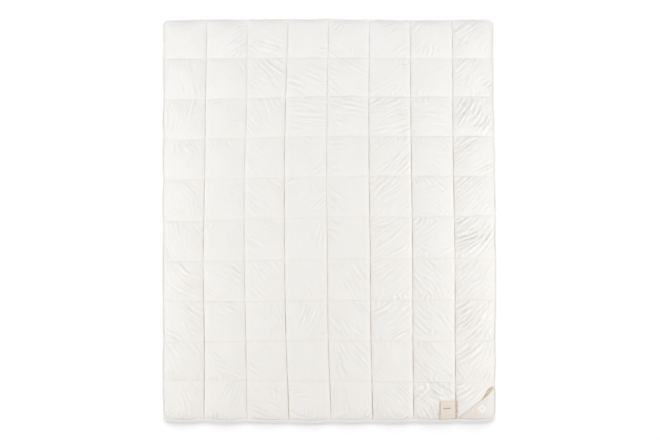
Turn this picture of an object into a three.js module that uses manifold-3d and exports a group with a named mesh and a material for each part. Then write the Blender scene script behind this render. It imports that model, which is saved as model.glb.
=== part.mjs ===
// A quilted duvet for a double bed, 200 x 240 cm, lying flat and face up.
// Millimetres, +Z up. The origin is on the floor under the middle of the duvet, +Y points to its
// head end, and the labels are at the foot corner on the +X side.
// Places on the duvet are given by two numbers that count squares: u across the width from the
// left edge and v along the length from the foot. Past the outer squares, from 0 to -1 and from
// the last square on by 1, lies the flat sewn rim.
import * as THREE from "three";
import { mergeVertices } from "three/addons/utils/BufferGeometryUtils.js";
import Module from "manifold-3d";

const COLUMNS = 8;
const ROWS = 10;

// The sewn lines that run along the duvet: their distance from its middle line at the foot end,
// half way and at the head end. The first and the last are the outer edges of the rim.
const LENGTHWISE_LINES = [
  { foot: -989, middle: -991, head: -987 },
  { foot: -749, middle: -752, head: -736 },
  { foot: -496, middle: -506, head: -495 },
  { foot: -246, middle: -268, head: -251 },
  { foot: 5, middle: -13, head: -6 },
  { foot: 257, middle: 243, head: 238 },
  { foot: 503, middle: 497, head: 485 },
  { foot: 755, middle: 752, head: 735 },
  { foot: 990, middle: 989, head: 978 },
];

// The sewn lines that run across the duvet, from the foot to the head: their distance from its
// middle at the left edge, half way and at the right edge.
const CROSSWISE_LINES = [
  { left: -1194, middle: -1198, right: -1198 },
  { left: -960, middle: -957, right: -966 },
  { left: -727, middle: -715, right: -718 },
  { left: -486, middle: -476, right: -475 },
  { left: -243, middle: -220, right: -223 },
  { left: -1, middle: 23, right: 24 },
  { left: 244, middle: 269, right: 270 },
  { left: 484, middle: 508, right: 506 },
  { left: 722, middle: 743, right: 740 },
  { left: 965, middle: 972, right: 970 },
  { left: 1195, middle: 1198, right: 1197 },
];

// The rounded corners of the rim
const CORNER_RADIUS = { footLeft: 27, footRight: 28, headLeft: 24, headRight: 18 };

// How the filled squares stand over and under the sewn lines
const CROWN = 27;
const BELLY = 16;
const FULLNESS = 0.45;
const SEAM_THICKNESS = 6;
const SEAM_HEIGHT = 14;
// No two squares are filled quite alike: the share varies with these turns a column and a row.
const UNEVEN = { share: 0.08, perColumn: 13, perRow: 7.3 };

// The rim: flat, lower than the sewn lines inside it, drawn in and lifted between them
const RIM_WIDTH = 12.5;
const RIM_HEIGHT = 10;
const RIM_DRAWN_IN = 3;
const RIM_LIFT = 2.5;

// Where the surface is divided within each square. The underside is flat in the middle.
const TOP_STEPS = [0, 0.07, 0.25, 0.5, 0.75, 0.93];
const UNDERSIDE_STEPS = [0, 0.07, 0.25, 0.75, 0.93];
const WAVE_SHOULDER = 0.25;

// The binding: a tape folded over the rim
const TAPE = { gap: 0.55, cloth: 1.2, lip: 11.3 };

// The corner patch: a triangle of cloth, the turned hem under its long edge showing as a sliver.
// Its two short edges are shares of the corner square's sides.
const PATCH = { foot: 0.95, side: 0.88, sag: 11, cloth: 2, layer: 1, gap: 0.5, clearance: 0.006 };
const PATCH_STEPS = [0.035, 0.16, 0.37, 0.62, 0.84];
const LONG_EDGE_STEPS = 12;
const SLIVER = { from: 0.58, to: 1.03, width: 22 };
const PATCH_LABEL = { side: 43, cloth: 1, gap: 0.4, alongU: 0.3, alongV: 0.28 };

// The seam label: a strip folded over at its top, with both ends in the foot seam
const SEAM_LABEL = {
  cloth: 1,
  apart: 0.8,
  gap: 0.7,
  reach: 0.05,
  back: { left: 6.605, right: 7.015, bulge: 0.05 },
  front: { left: 6.625, right: 6.985, bulge: 0 },
  leafV: [0.006, 0.035, 0.07, 0.13, 0.19, 0.25, 0.33, 0.41, 0.5],
  foldDegrees: [-60, -30, 0, 30, 60],
  columns: 9,
};

const COTTON = { color: 0xf3f1ec, roughness: 0.9, metalness: 0 };
const TAPE_COTTON = { color: 0xf1eee8, roughness: 0.85, metalness: 0 };
const NATURAL = { color: 0xe9dfd2, roughness: 0.9, metalness: 0 };
const WHITE_WEAVE = { color: 0xf6f4f1, roughness: 0.7, metalness: 0 };
const LABEL_COTTON = { color: 0xe8dccd, roughness: 0.85, metalness: 0 };

const wasm = await Module();
wasm.setup();

// A closed mesh as a solid that can be cut, and back again.
function toSolid(geometry) {
  const loose = geometry.index ? geometry.toNonIndexed() : geometry;
  const bare = new THREE.BufferGeometry();
  bare.setAttribute("position", loose.getAttribute("position"));
  const merged = mergeVertices(bare, 1e-3);
  const vertProperties = merged.attributes.position.array;
  const triVerts = new Uint32Array(merged.index.array);
  return new wasm.Manifold(new wasm.Mesh({ numProp: 3, vertProperties, triVerts }));
}

function toGeometry(solid) {
  const mesh = solid.getMesh();
  const geometry = new THREE.BufferGeometry();
  geometry.setAttribute("position", new THREE.BufferAttribute(mesh.vertProperties, 3));
  geometry.setIndex(new THREE.BufferAttribute(mesh.triVerts, 1));
  return geometry;
}

// A surface that is collected corner by corner
class Skin {
  constructor() {
    this.corners = [];
  }

  triangle(a, b, c) {
    for (const p of [a, b, c]) {
      this.corners.push(p.x, p.y, p.z);
    }
  }

  quad(a, b, c, d) {
    this.triangle(a, b, c);
    this.triangle(a, c, d);
  }

  geometry() {
    const made = new THREE.BufferGeometry();
    made.setAttribute("position", new THREE.Float32BufferAttribute(this.corners, 3));
    return made;
  }
}

function mesh(name, geometry, material) {
  geometry.computeVertexNormals();
  const made = new THREE.Mesh(geometry, new THREE.MeshStandardMaterial(material));
  made.name = name;
  return made;
}

// The curve through three values, at 0, a half and 1
function bend(start, middle, end, t) {
  return start * (2 * t - 1) * (t - 1) + 4 * middle * t * (1 - t) + end * t * (2 * t - 1);
}

function within(value, low, high) {
  return Math.min(Math.max(value, low), high);
}

// How far into its square a count of squares reaches, or 0 on the rim
function fraction(count, squares) {
  return count <= 0 || count >= squares ? 0 : count - Math.floor(count);
}

// 0 at the sewn lines, 1 between them, with straight shoulders
function wave(count, squares) {
  const t = fraction(count, squares);
  return Math.min(1, t / WAVE_SHOULDER, (1 - t) / WAVE_SHOULDER);
}

// A place between the sewn lines, as a distance, from a count of squares
function between(lines, count) {
  const squares = lines.length - 1;
  if (count <= 0) {
    return lines[0] + (1 + count) * RIM_WIDTH;
  }
  if (count >= squares) {
    return lines[squares] - (1 + squares - count) * RIM_WIDTH;
  }
  const square = Math.floor(count);
  const low = lines[square] + (square === 0 ? RIM_WIDTH : 0);
  const high = lines[square + 1] - (square === squares - 1 ? RIM_WIDTH : 0);
  return low + (high - low) * (count - square);
}

function lengthwiseAt(v) {
  const t = within(v / ROWS, 0, 1);
  const lines = LENGTHWISE_LINES.map((line) => bend(line.foot, line.middle, line.head, t));
  const drawnIn = RIM_DRAWN_IN * wave(v, ROWS);
  lines[0] += drawnIn;
  lines[COLUMNS] -= drawnIn;
  return lines;
}

function crosswiseAt(u) {
  const t = within(u / COLUMNS, 0, 1);
  const lines = CROSSWISE_LINES.map((line) => bend(line.left, line.middle, line.right, t));
  const drawnIn = RIM_DRAWN_IN * wave(u, COLUMNS);
  lines[0] += drawnIn;
  lines[ROWS] -= drawnIn;
  return lines;
}

// Rounds a corner: rings of equal distance from the two edges become concentric arcs.
function rounded(fromSide, fromEnd, radius) {
  const a = radius - fromSide;
  const b = radius - fromEnd;
  if (a <= 0 || b <= 0) {
    return [fromSide, fromEnd];
  }
  const ring = Math.max(a, b);
  const angle = (Math.PI / 4) * (Math.min(a, b) / ring);
  const near = radius - ring * Math.cos(angle);
  const far = radius - ring * Math.sin(angle);
  return a >= b ? [near, far] : [far, near];
}

// Where a place on the duvet lies, seen from above
function plan(u, v) {
  const xs = lengthwiseAt(v);
  const ys = crosswiseAt(u);
  const atLeft = u < COLUMNS / 2;
  const atFoot = v < ROWS / 2;
  const radius = CORNER_RADIUS[(atFoot ? "foot" : "head") + (atLeft ? "Left" : "Right")];
  const sideX = atLeft ? xs[0] : xs[COLUMNS];
  const endY = atFoot ? ys[0] : ys[ROWS];
  const inward = { x: atLeft ? 1 : -1, y: atFoot ? 1 : -1 };
  const fromSide = (between(xs, u) - sideX) * inward.x;
  const fromEnd = (between(ys, v) - endY) * inward.y;
  const [side, end] = rounded(fromSide, fromEnd, radius);
  return new THREE.Vector2(sideX + side * inward.x, endY + end * inward.y);
}

// Half way up the sewn lines: lower at the rim, where it rises a little between the lines
function seamHeight(u, v) {
  const fromSide = Math.min(u, COLUMNS - u);
  const fromEnd = Math.min(v, ROWS - v);
  const inside = within(Math.min(fromSide, fromEnd), 0, 1);
  const along = fromSide < fromEnd ? wave(v, ROWS) : wave(u, COLUMNS);
  const rim = RIM_HEIGHT + RIM_LIFT * along;
  return rim + (SEAM_HEIGHT - rim) * inside;
}

// The shape of a filled square: 0 at its sewn edges, 1 in its middle
function pillow(u, v) {
  const s = fraction(u, COLUMNS);
  const t = fraction(v, ROWS);
  return Math.pow(16 * s * (1 - s) * t * (1 - t), FULLNESS);
}

function filling(u, v) {
  const column = Math.floor(within(u, 0, COLUMNS - 1));
  const row = Math.floor(within(v, 0, ROWS - 1));
  return 1 + UNEVEN.share * Math.sin(UNEVEN.perColumn * column + UNEVEN.perRow * row);
}

function topPoint(u, v, above = 0) {
  const place = plan(u, v);
  const height = seamHeight(u, v) + SEAM_THICKNESS / 2 + CROWN * filling(u, v) * pillow(u, v);
  return new THREE.Vector3(place.x, place.y, height + above);
}

function undersidePoint(u, v) {
  const place = plan(u, v);
  const height = seamHeight(u, v) - SEAM_THICKNESS / 2 - BELLY * pillow(u, v);
  return new THREE.Vector3(place.x, place.y, Math.max(0, height));
}

// The counts at which a surface is divided, rim included
function divisions(squares, steps) {
  const counts = [-1];
  for (let square = 0; square < squares; square++) {
    counts.push(...steps.map((step) => square + step));
  }
  return [...counts, squares, squares + 1];
}

// Adds a grid of points to a skin. Each quad is folded towards the middle of its square.
function addGrid(skin, us, vs, point, facesUp) {
  for (let i = 0; i + 1 < us.length; i++) {
    for (let j = 0; j + 1 < vs.length; j++) {
      const a = point(us[i], vs[j]);
      const b = point(us[i + 1], vs[j]);
      const c = point(us[i + 1], vs[j + 1]);
      const d = point(us[i], vs[j + 1]);
      const s = fraction((us[i] + us[i + 1]) / 2, COLUMNS);
      const t = fraction((vs[j] + vs[j + 1]) / 2, ROWS);
      const [p, q, r, w] = s < 0.5 === t < 0.5 ? [a, b, c, d] : [b, c, d, a];
      if (facesUp) {
        skin.quad(p, q, r, w);
      } else {
        skin.quad(p, w, r, q);
      }
    }
  }
}

// The places along the rim's outer edge, anticlockwise from the left foot corner
function rimPlaces(us, vs) {
  const [left, right] = [us[0], us.at(-1)];
  const [foot, head] = [vs[0], vs.at(-1)];
  return [
    ...us.slice(0, -1).map((u) => [u, foot]),
    ...vs.slice(0, -1).map((v) => [right, v]),
    ...us.slice(1).reverse().map((u) => [u, head]),
    ...vs.slice(1).reverse().map((v) => [left, v]),
  ];
}

const topUs = divisions(COLUMNS, TOP_STEPS);
const topVs = divisions(ROWS, TOP_STEPS);
const undersideUs = divisions(COLUMNS, UNDERSIDE_STEPS);
const undersideVs = divisions(ROWS, UNDERSIDE_STEPS);

// The wall between the two faces. The upper edge has a few more points than the lower one.
function addRimWall(skin) {
  const upper = rimPlaces(topUs, topVs);
  const lower = rimPlaces(undersideUs, undersideVs);
  let m = 0;
  for (let k = 0; k < upper.length; k++) {
    const next = upper[(k + 1) % upper.length];
    const nextLower = lower[(m + 1) % lower.length];
    const foot = undersidePoint(...lower[m % lower.length]);
    skin.triangle(foot, topPoint(...next), topPoint(...upper[k]));
    if (next[0] === nextLower[0] && next[1] === nextLower[1]) {
      skin.triangle(foot, undersidePoint(...nextLower), topPoint(...next));
      m += 1;
    }
  }
}

function duvet() {
  const skin = new Skin();
  addGrid(skin, topUs, topVs, topPoint, true);
  addGrid(skin, undersideUs, undersideVs, undersidePoint, false);
  addRimWall(skin);
  return mesh("duvet", skin.geometry(), COTTON);
}

// The tape's section: outward from the rim's edge, and up from the rim's middle
function tapeSection() {
  const inner = SEAM_THICKNESS / 2 + TAPE.gap;
  const outer = inner + TAPE.cloth;
  const fold = TAPE.gap + TAPE.cloth;
  const shoulder = outer / 2;
  return [
    [-TAPE.lip, inner],
    [TAPE.gap, inner],
    [TAPE.gap, -inner],
    [-TAPE.lip, -inner],
    [-TAPE.lip, -outer],
    [fold - shoulder / 2, -outer],
    [fold, -shoulder],
    [fold, shoulder],
    [fold - shoulder / 2, outer],
    [-TAPE.lip, outer],
  ];
}

function binding() {
  const places = rimPlaces(undersideUs, undersideVs);
  const count = places.length;
  const path = places.map(([u, v]) => plan(u, v));
  const section = tapeSection();
  const rings = path.map((point, k) => {
    const ahead = path[(k + 1) % count].clone().sub(point).normalize();
    const behind = point.clone().sub(path[(k + count - 1) % count]).normalize();
    const along = ahead.clone().add(behind).normalize();
    const mitre = 1 / along.dot(ahead);
    const outward = new THREE.Vector2(along.y, -along.x).multiplyScalar(mitre);
    const height = seamHeight(...places[k]);
    return section.map(([out, up]) => {
      const place = point.clone().addScaledVector(outward, out);
      return new THREE.Vector3(place.x, place.y, height + up);
    });
  });
  const skin = new Skin();
  rings.forEach((ring, k) => {
    const next = rings[(k + 1) % count];
    ring.forEach((point, m) => {
      const n = (m + 1) % ring.length;
      skin.quad(point, next[m], next[n], ring[n]);
    });
  });
  return mesh("binding", skin.geometry(), TAPE_COTTON);
}

// A layer of even thickness that lies on one square's upper face
function layerOn(column, row, gap, thickness) {
  const us = [...TOP_STEPS, 1].map((step) => column + step);
  const vs = [...TOP_STEPS, 1].map((step) => row + step);
  const under = (u, v) => topPoint(u, v, gap);
  const over = (u, v) => topPoint(u, v, gap + thickness);
  const skin = new Skin();
  addGrid(skin, us, vs, over, true);
  addGrid(skin, us, vs, under, false);
  const around = rimPlaces(us, vs);
  around.forEach((place, k) => {
    const next = around[(k + 1) % around.length];
    skin.quad(under(...place), under(...next), over(...next), over(...place));
  });
  return toSolid(skin.geometry());
}

// An upright prism over an outline seen from above, tall enough to cut any layer
function prism(outline) {
  const depth = 2 * (SEAM_HEIGHT + CROWN);
  return toSolid(new THREE.ExtrudeGeometry(new THREE.Shape(outline), { depth, bevelEnabled: false }));
}

// The long edge of the patch from the foot seam to the side seam. It sags towards the corner,
// most near its upper end. The hem's edge lies further out by up to the sliver's width.
function longEdge(sliverWidth) {
  const start = plan(COLUMNS - PATCH.foot, PATCH.clearance);
  const end = plan(COLUMNS - PATCH.clearance, PATCH.side);
  const out = new THREE.Vector2(start.y - end.y, end.x - start.x).normalize();
  const points = [];
  for (let k = 0; k <= LONG_EDGE_STEPS; k++) {
    const t = k / LONG_EDGE_STEPS;
    const share = within((t - SLIVER.from) / (SLIVER.to - SLIVER.from), 0, 1);
    const sag = PATCH.sag * Math.sin(Math.PI * Math.pow(t, 3));
    const hem = sliverWidth * Math.sin(Math.PI * Math.pow(share, 1.5));
    points.push(start.clone().lerp(end, t).addScaledVector(out, hem - sag));
  }
  return points;
}

// The patch seen from above: its two short edges run just inside the rim. Their corners lie
// between the lines at which the squares are divided, so that the cut leaves no fine slivers.
function patchOutline(sliverWidth) {
  const edge = PATCH.clearance;
  const upTo = (reach) => PATCH_STEPS.filter((step) => step < reach);
  const foot = upTo(PATCH.foot).map((step) => plan(COLUMNS - step, edge));
  const side = upTo(PATCH.side).map((step) => plan(COLUMNS - edge, step));
  return [...foot.reverse(), ...side, ...longEdge(sliverWidth).reverse()];
}

function cornerPatch() {
  const column = COLUMNS - 1;
  const shared = PATCH.layer / 2;
  const hem = layerOn(column, 0, PATCH.gap, PATCH.layer).intersect(prism(patchOutline(SLIVER.width)));
  const cloth = layerOn(column, 0, PATCH.gap + shared, PATCH.cloth - shared);
  const whole = cloth.intersect(prism(patchOutline(0))).add(hem);
  return mesh("corner_patch", toGeometry(whole), NATURAL);
}

// A small square with its edges along and across the patch's long edge
function patchLabel() {
  const centre = plan(COLUMNS - PATCH_LABEL.alongU, PATCH_LABEL.alongV);
  const half = PATCH_LABEL.side / Math.SQRT2;
  const outline = [0, 1, 2, 3].map((corner) => {
    const angle = (corner * Math.PI) / 2;
    return new THREE.Vector2(Math.cos(angle), Math.sin(angle)).multiplyScalar(half).add(centre);
  });
  const gap = PATCH.gap + PATCH.cloth + PATCH_LABEL.gap;
  const cut = layerOn(COLUMNS - 1, 0, gap, PATCH_LABEL.cloth).intersect(prism(outline));
  return mesh("patch_label", toGeometry(cut), WHITE_WEAVE);
}

// The two divisions around a count of squares, and how far it lies between them
function bracket(count, squares) {
  const square = within(Math.floor(count), 0, squares - 1);
  const marks = [...TOP_STEPS, 1].map((step) => square + step);
  const k = marks.findLastIndex((mark) => mark <= count && mark < square + 1);
  return { low: marks[k], high: marks[k + 1], share: (count - marks[k]) / (marks[k + 1] - marks[k]) };
}

// The height of the duvet's upper face as it is divided, each quad with its own fold
function faceHeight(u, v) {
  const across = bracket(u, COLUMNS);
  const along = bracket(v, ROWS);
  const s = across.share;
  const t = along.share;
  const a = topPoint(across.low, along.low).z;
  const b = topPoint(across.high, along.low).z;
  const c = topPoint(across.high, along.high).z;
  const d = topPoint(across.low, along.high).z;
  const inLowHalf = (count) => count - Math.floor(count) < 0.5;
  if (inLowHalf((across.low + across.high) / 2) === inLowHalf((along.low + along.high) / 2)) {
    return s > t ? a + (b - a) * s + (c - b) * t : a + (d - a) * t + (c - d) * s;
  }
  return s + t < 1 ? a + (b - a) * s + (d - a) * t : c + (d - c) * (1 - s) + (b - c) * (1 - t);
}

// The height at which a cloth rests when it bridges the hollow beside it
function bridged(u, v, reach) {
  const probes = 6;
  let height = 0;
  for (let k = -probes; k <= probes; k++) {
    height = Math.max(height, faceHeight(u + (reach * k) / probes, v));
  }
  return height;
}

// A solid of even thickness about a sheet of points
function thickened(sheet, thickness) {
  const rows = sheet.length;
  const columns = sheet[0].length;
  const shifted = (amount) =>
    sheet.map((row, i) =>
      row.map((point, j) => {
        const along = new THREE.Vector3().subVectors(
          sheet[Math.min(i + 1, rows - 1)][j],
          sheet[Math.max(i - 1, 0)][j],
        );
        const across = new THREE.Vector3().subVectors(
          row[Math.min(j + 1, columns - 1)],
          row[Math.max(j - 1, 0)],
        );
        return along.cross(across).normalize().multiplyScalar(amount).add(point);
      }),
    );
  const front = shifted(thickness / 2);
  const back = shifted(-thickness / 2);
  const skin = new Skin();
  for (let i = 0; i + 1 < rows; i++) {
    for (let j = 0; j + 1 < columns; j++) {
      skin.quad(front[i][j], front[i + 1][j], front[i + 1][j + 1], front[i][j + 1]);
      skin.quad(back[i][j], back[i][j + 1], back[i + 1][j + 1], back[i + 1][j]);
    }
    skin.quad(front[i][0], back[i][0], back[i + 1][0], front[i + 1][0]);
    const last = columns - 1;
    skin.quad(front[i + 1][last], back[i + 1][last], back[i][last], front[i][last]);
  }
  for (let j = 0; j + 1 < columns; j++) {
    const last = rows - 1;
    skin.quad(front[0][j], front[0][j + 1], back[0][j + 1], back[0][j]);
    skin.quad(front[last][j + 1], front[last][j], back[last][j], back[last][j + 1]);
  }
  return skin.geometry();
}

// The strip's middle surface, from its back end at the seam, up, over the fold and back down
function seamLabel() {
  const { cloth, apart, gap, reach, back, front, leafV, foldDegrees, columns } = SEAM_LABEL;
  const radius = (cloth + apart) / 2;
  const foldV = leafV.at(-1);
  const places = [
    ...leafV.map((v) => ({ v, up: 0, out: 0, side: 0 })),
    ...foldDegrees.map((degrees) => {
      const angle = THREE.MathUtils.degToRad(degrees);
      const side = 0.5 + degrees / 180;
      return { v: foldV, up: radius * (1 + Math.sin(angle)), out: radius * Math.cos(angle), side };
    }),
    ...leafV.toReversed().map((v) => ({ v, up: 2 * radius, out: 0, side: 1 })),
  ];
  const sheet = places.map(({ v, up, out, side }) => {
    const swell = Math.sin(Math.PI * (v / foldV));
    const left = back.left + (front.left - back.left) * side;
    const backRight = back.right + back.bulge * swell;
    const frontRight = front.right + front.bulge * swell;
    const right = backRight + (frontRight - backRight) * side;
    const row = [];
    for (let j = 0; j <= columns; j++) {
      const u = left + ((right - left) * j) / columns;
      const place = plan(u, v);
      const height = bridged(u, v, reach) + gap + cloth / 2 + up;
      row.push(new THREE.Vector3(place.x, place.y + out, height));
    }
    return row;
  });
  return mesh("seam_label", thickened(sheet, cloth), LABEL_COTTON);
}

const group = new THREE.Group();
group.add(duvet(), binding(), cornerPatch(), patchLabel(), seamLabel());

// The middle of the whole lies over the origin.
const middle = new THREE.Box3().setFromObject(group).getCenter(new THREE.Vector3());
group.position.set(-middle.x, -middle.y, 0);

export default group;
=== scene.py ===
# A quilted duvet of 200 x 240 cm, lying flat and seen from straight above.
# Places on it are two counts of squares, as in the part: u across from the left edge and v up from the foot.
# The rim lies before 0 and after the last square, to one count further.
import math

import bmesh
import bpy
import numpy as np
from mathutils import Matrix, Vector
from mathutils.bvhtree import BVHTree


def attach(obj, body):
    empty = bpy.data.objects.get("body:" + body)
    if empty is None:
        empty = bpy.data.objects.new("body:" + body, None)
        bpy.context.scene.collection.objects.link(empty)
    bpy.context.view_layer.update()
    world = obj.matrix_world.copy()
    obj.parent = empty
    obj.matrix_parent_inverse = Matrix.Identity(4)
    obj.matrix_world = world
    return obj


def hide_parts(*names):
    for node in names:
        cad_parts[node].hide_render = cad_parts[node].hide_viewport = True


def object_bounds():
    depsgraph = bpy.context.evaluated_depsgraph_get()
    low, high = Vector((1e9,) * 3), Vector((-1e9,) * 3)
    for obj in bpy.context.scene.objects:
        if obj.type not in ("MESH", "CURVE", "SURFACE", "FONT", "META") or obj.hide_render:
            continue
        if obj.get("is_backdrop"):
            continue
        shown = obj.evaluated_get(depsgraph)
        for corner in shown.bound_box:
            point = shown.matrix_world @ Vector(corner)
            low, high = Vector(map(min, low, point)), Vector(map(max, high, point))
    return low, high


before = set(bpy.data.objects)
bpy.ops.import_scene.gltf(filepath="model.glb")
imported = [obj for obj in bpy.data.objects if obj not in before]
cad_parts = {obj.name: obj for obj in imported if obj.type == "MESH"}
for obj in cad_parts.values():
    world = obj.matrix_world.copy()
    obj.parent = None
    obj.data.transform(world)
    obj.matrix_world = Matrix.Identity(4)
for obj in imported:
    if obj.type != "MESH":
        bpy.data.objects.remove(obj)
cad_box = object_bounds()

# Sizes are in millimetres until they go into a mesh.
MM = 0.001
BODY = "root"

# The camera looks straight down, as the photograph's does. One pixel is 5.966 mm at the scale height.
# Both heights are in metres.
IMAGE_WIDTH, IMAGE_HEIGHT = 660, 440
PIXEL = 5.966
MIDDLE_PIXEL = (329.1, 220.0)
CAMERA_HEIGHT = 6.0
SCALE_HEIGHT = 0.02
SENSOR = 36.0

COLUMNS, ROWS = 8, 10
HALF_WIDTH, HALF_LENGTH = 1000, 1200
SQUARE_WIDTH, SQUARE_LENGTH = 247, 240
# The sewn lines inside the edge, as x or y at every second square. They wander a little more than the part's.
LENGTHWISE = np.array([
    (-746, -744, -751, -742, -737, -729),
    (-490, -497, -505, -505, -491, -490),
    (-240, -257, -265, -267, -259, -244),
    (12, -5, -10, -14, -11, -2),
    (260, 250, 246, 239, 238, 240),
    (504, 500, 498, 492, 487, 485),
    (757, 752, 751, 742, 737, 735),
], float)
CROSSWISE = np.array([
    (-958, -956, -957, -966, -970),
    (-730, -722, -719, -721, -724),
    (-480, -485, -476, -480, -471),
    (-249, -241, -232, -228, -232),
    (-8, 3, 18, 20, 28),
    (239, 250, 260, 264, 262),
    (478, 489, 501, 500, 501),
    (718, 724, 738, 734, 737),
    (960, 963, 968, 964, 965),
], float)
# The outer edges in the same way. They wobble a little, and the foot's also bulges between the sewn lines.
EDGES = {
    "left": (-993, -996, -998, -996, -995, -993),
    "right": (995, 998, 1001, 995, 986, 983),
    "foot": (-1195, -1197, -1199, -1197, -1194),
    "head": (1197, 1201, 1203, 1196, 1198),
}
EDGE_WOBBLE, FOOT_BULGE = 2.5, 4
CORNER_RADIUS = {("foot", "left"): 38, ("foot", "right"): 42, ("head", "left"): 36, ("head", "right"): 34}

# Heights of the sewn lines and of the filled squares
CROWN, BELLY = 27, 16
SEAM_THICKNESS, SEAM_HEIGHT = 6, 14
RIM_WIDTH, RIM_HEIGHT, RIM_LIFT = 12.5, 10, 2.5
SHOULDER = 0.27
UNEVEN = {"share": 0.08, "per_column": 13, "per_row": 7.3}

# Divisions of one square of the upper cloth, closer together at its seams. The lower cloth has every third.
DIVISIONS = 33
UNDERSIDE_EVERY = 3
SHARES = np.concatenate([[0, 0.013], np.linspace(0.033, 0.967, DIVISIONS - 3), [0.987]])


def eased(t):
    """From 0 to 1 without a corner at either end"""
    return t * t * (3 - 2 * t)


def bell(distance, width):
    """1 at no distance, and next to nothing at three widths"""
    return np.exp(-0.5 * (distance / width) ** 2)


def curve(table, count, squares):
    """Rows of values at even steps, read at a count of squares, as a smooth curve through them"""
    table = np.asarray(table, float)
    place = np.clip(np.asarray(count, float) / squares, 0, 1) * (table.shape[-1] - 1)
    before = np.minimum(place.astype(int), table.shape[-1] - 2)
    t = place - before
    longer = np.concatenate([table[..., :1], table, table[..., -1:]], -1)
    a, b, c, d = [longer[..., before + k] for k in range(4)]
    return b + t / 2 * (c - a + t * (2 * a - 5 * b + 4 * c - d + t * (3 * b - 3 * c + d - a)))


def fraction(count, squares):
    """How far into its square a count of squares reaches, or 0 on the rim"""
    return np.where((count <= 0) | (count >= squares), 0.0, count - np.floor(count))


def to_seams(u, v):
    """How far it is to the nearest lengthwise and crosswise seam, in mm"""
    side, end = fraction(u, COLUMNS), fraction(v, ROWS)
    return np.minimum(side, 1 - side) * SQUARE_WIDTH, np.minimum(end, 1 - end) * SQUARE_LENGTH


def wave(count, squares):
    """0 at the sewn lines and 1 between them, with soft shoulders"""
    t = fraction(count, squares)
    return eased(np.clip(np.minimum(t, 1 - t) / SHOULDER, 0, 1))


def between(lines, count):
    """A place between the sewn lines, as a distance, from a count of squares"""
    squares = lines.shape[-1] - 1
    square = np.clip(np.floor(count).astype(int), 0, squares - 1)
    low = np.take_along_axis(lines, square[..., None], -1)[..., 0] + (square == 0) * RIM_WIDTH
    high = np.take_along_axis(lines, square[..., None] + 1, -1)[..., 0] - (square == squares - 1) * RIM_WIDTH
    inside = low + (high - low) * (count - square)
    first = lines[..., 0] + (1 + count) * RIM_WIDTH
    last = lines[..., -1] - (1 + squares - count) * RIM_WIDTH
    return np.where(count <= 0, first, np.where(count >= squares, last, inside))


def edge_at(side, count, squares):
    """Where an outer edge is at a count of squares along it"""
    wobble = EDGE_WOBBLE * np.random.default_rng(list(EDGES).index(side)).uniform(-1, 1, 2 * squares + 1)
    bulge = FOOT_BULGE * np.sin(math.pi * np.clip(count, 0, squares)) ** 2 if side == "foot" else 0
    return curve(EDGES[side], count, squares) + curve(wobble, count, squares) - bulge


def lines_at(table, sides, count, squares):
    """Where the sewn lines and the two edges are at a count of squares along them"""
    inner = np.moveaxis(curve(table, count, squares), 0, -1)
    first, last = [edge_at(side, count, squares)[..., None] for side in sides]
    return np.concatenate([first, inner, last], -1)


def plan(u, v):
    """Where a place on the duvet lies, seen from above, with its corners rounded"""
    u, v = np.broadcast_arrays(np.asarray(u, float), np.asarray(v, float))
    xs = lines_at(LENGTHWISE, ("left", "right"), v, ROWS)
    ys = lines_at(CROSSWISE, ("foot", "head"), u, COLUMNS)
    x, y = between(xs, u), between(ys, v)
    for (end, side), radius in CORNER_RADIUS.items():
        at_corner = ((u < COLUMNS / 2) == (side == "left")) & ((v < ROWS / 2) == (end == "foot"))
        side_x = xs[..., 0] if side == "left" else xs[..., -1]
        end_y = ys[..., 0] if end == "foot" else ys[..., -1]
        inward_x = 1 if side == "left" else -1
        inward_y = 1 if end == "foot" else -1
        a = radius - (x - side_x) * inward_x
        b = radius - (y - end_y) * inward_y
        ring, less = np.maximum(a, b), np.minimum(a, b)
        angle = (math.pi / 4) * less / np.where(ring > 0, ring, 1)
        near, far = radius - ring * np.cos(angle), radius - ring * np.sin(angle)
        inside = at_corner & (less > 0)
        x = np.where(inside, side_x + np.where(a >= b, near, far) * inward_x, x)
        y = np.where(inside, end_y + np.where(a >= b, far, near) * inward_y, y)
    return x, y


def seam_height(u, v):
    """Half way up the sewn lines: lower at the rim, where it rises a little between the lines"""
    from_side, from_end = np.minimum(u, COLUMNS - u), np.minimum(v, ROWS - v)
    inside = np.clip(np.minimum(from_side, from_end), 0, 1)
    along = np.where(from_side < from_end, wave(v, ROWS), wave(u, COLUMNS))
    rim = RIM_HEIGHT + RIM_LIFT * along
    return rim + (SEAM_HEIGHT - rim) * inside


def filling(u, v):
    """How full a square is: no two are quite alike"""
    column = np.floor(np.clip(u, 0, COLUMNS - 1))
    row = np.floor(np.clip(v, 0, ROWS - 1))
    return 1 + UNEVEN["share"] * np.sin(UNEVEN["per_column"] * column + UNEVEN["per_row"] * row)


def patchy(random, shape, cell):
    """Smooth noise on a grid, from random numbers that lie a cell's number of steps apart"""
    height, width = shape
    coarse = random.standard_normal((int(height / cell) + 4, int(width / cell) + 4))
    y, x = np.arange(height) / cell, np.arange(width) / cell
    row, column = y.astype(int), x.astype(int)
    fy, fx = eased(y - row)[:, None], eased(x - column)[None, :]
    low = coarse[row][:, column] * (1 - fx) + coarse[row][:, column + 1] * fx
    high = coarse[row + 1][:, column] * (1 - fx) + coarse[row + 1][:, column + 1] * fx
    return low * (1 - fy) + high * fy


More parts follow.
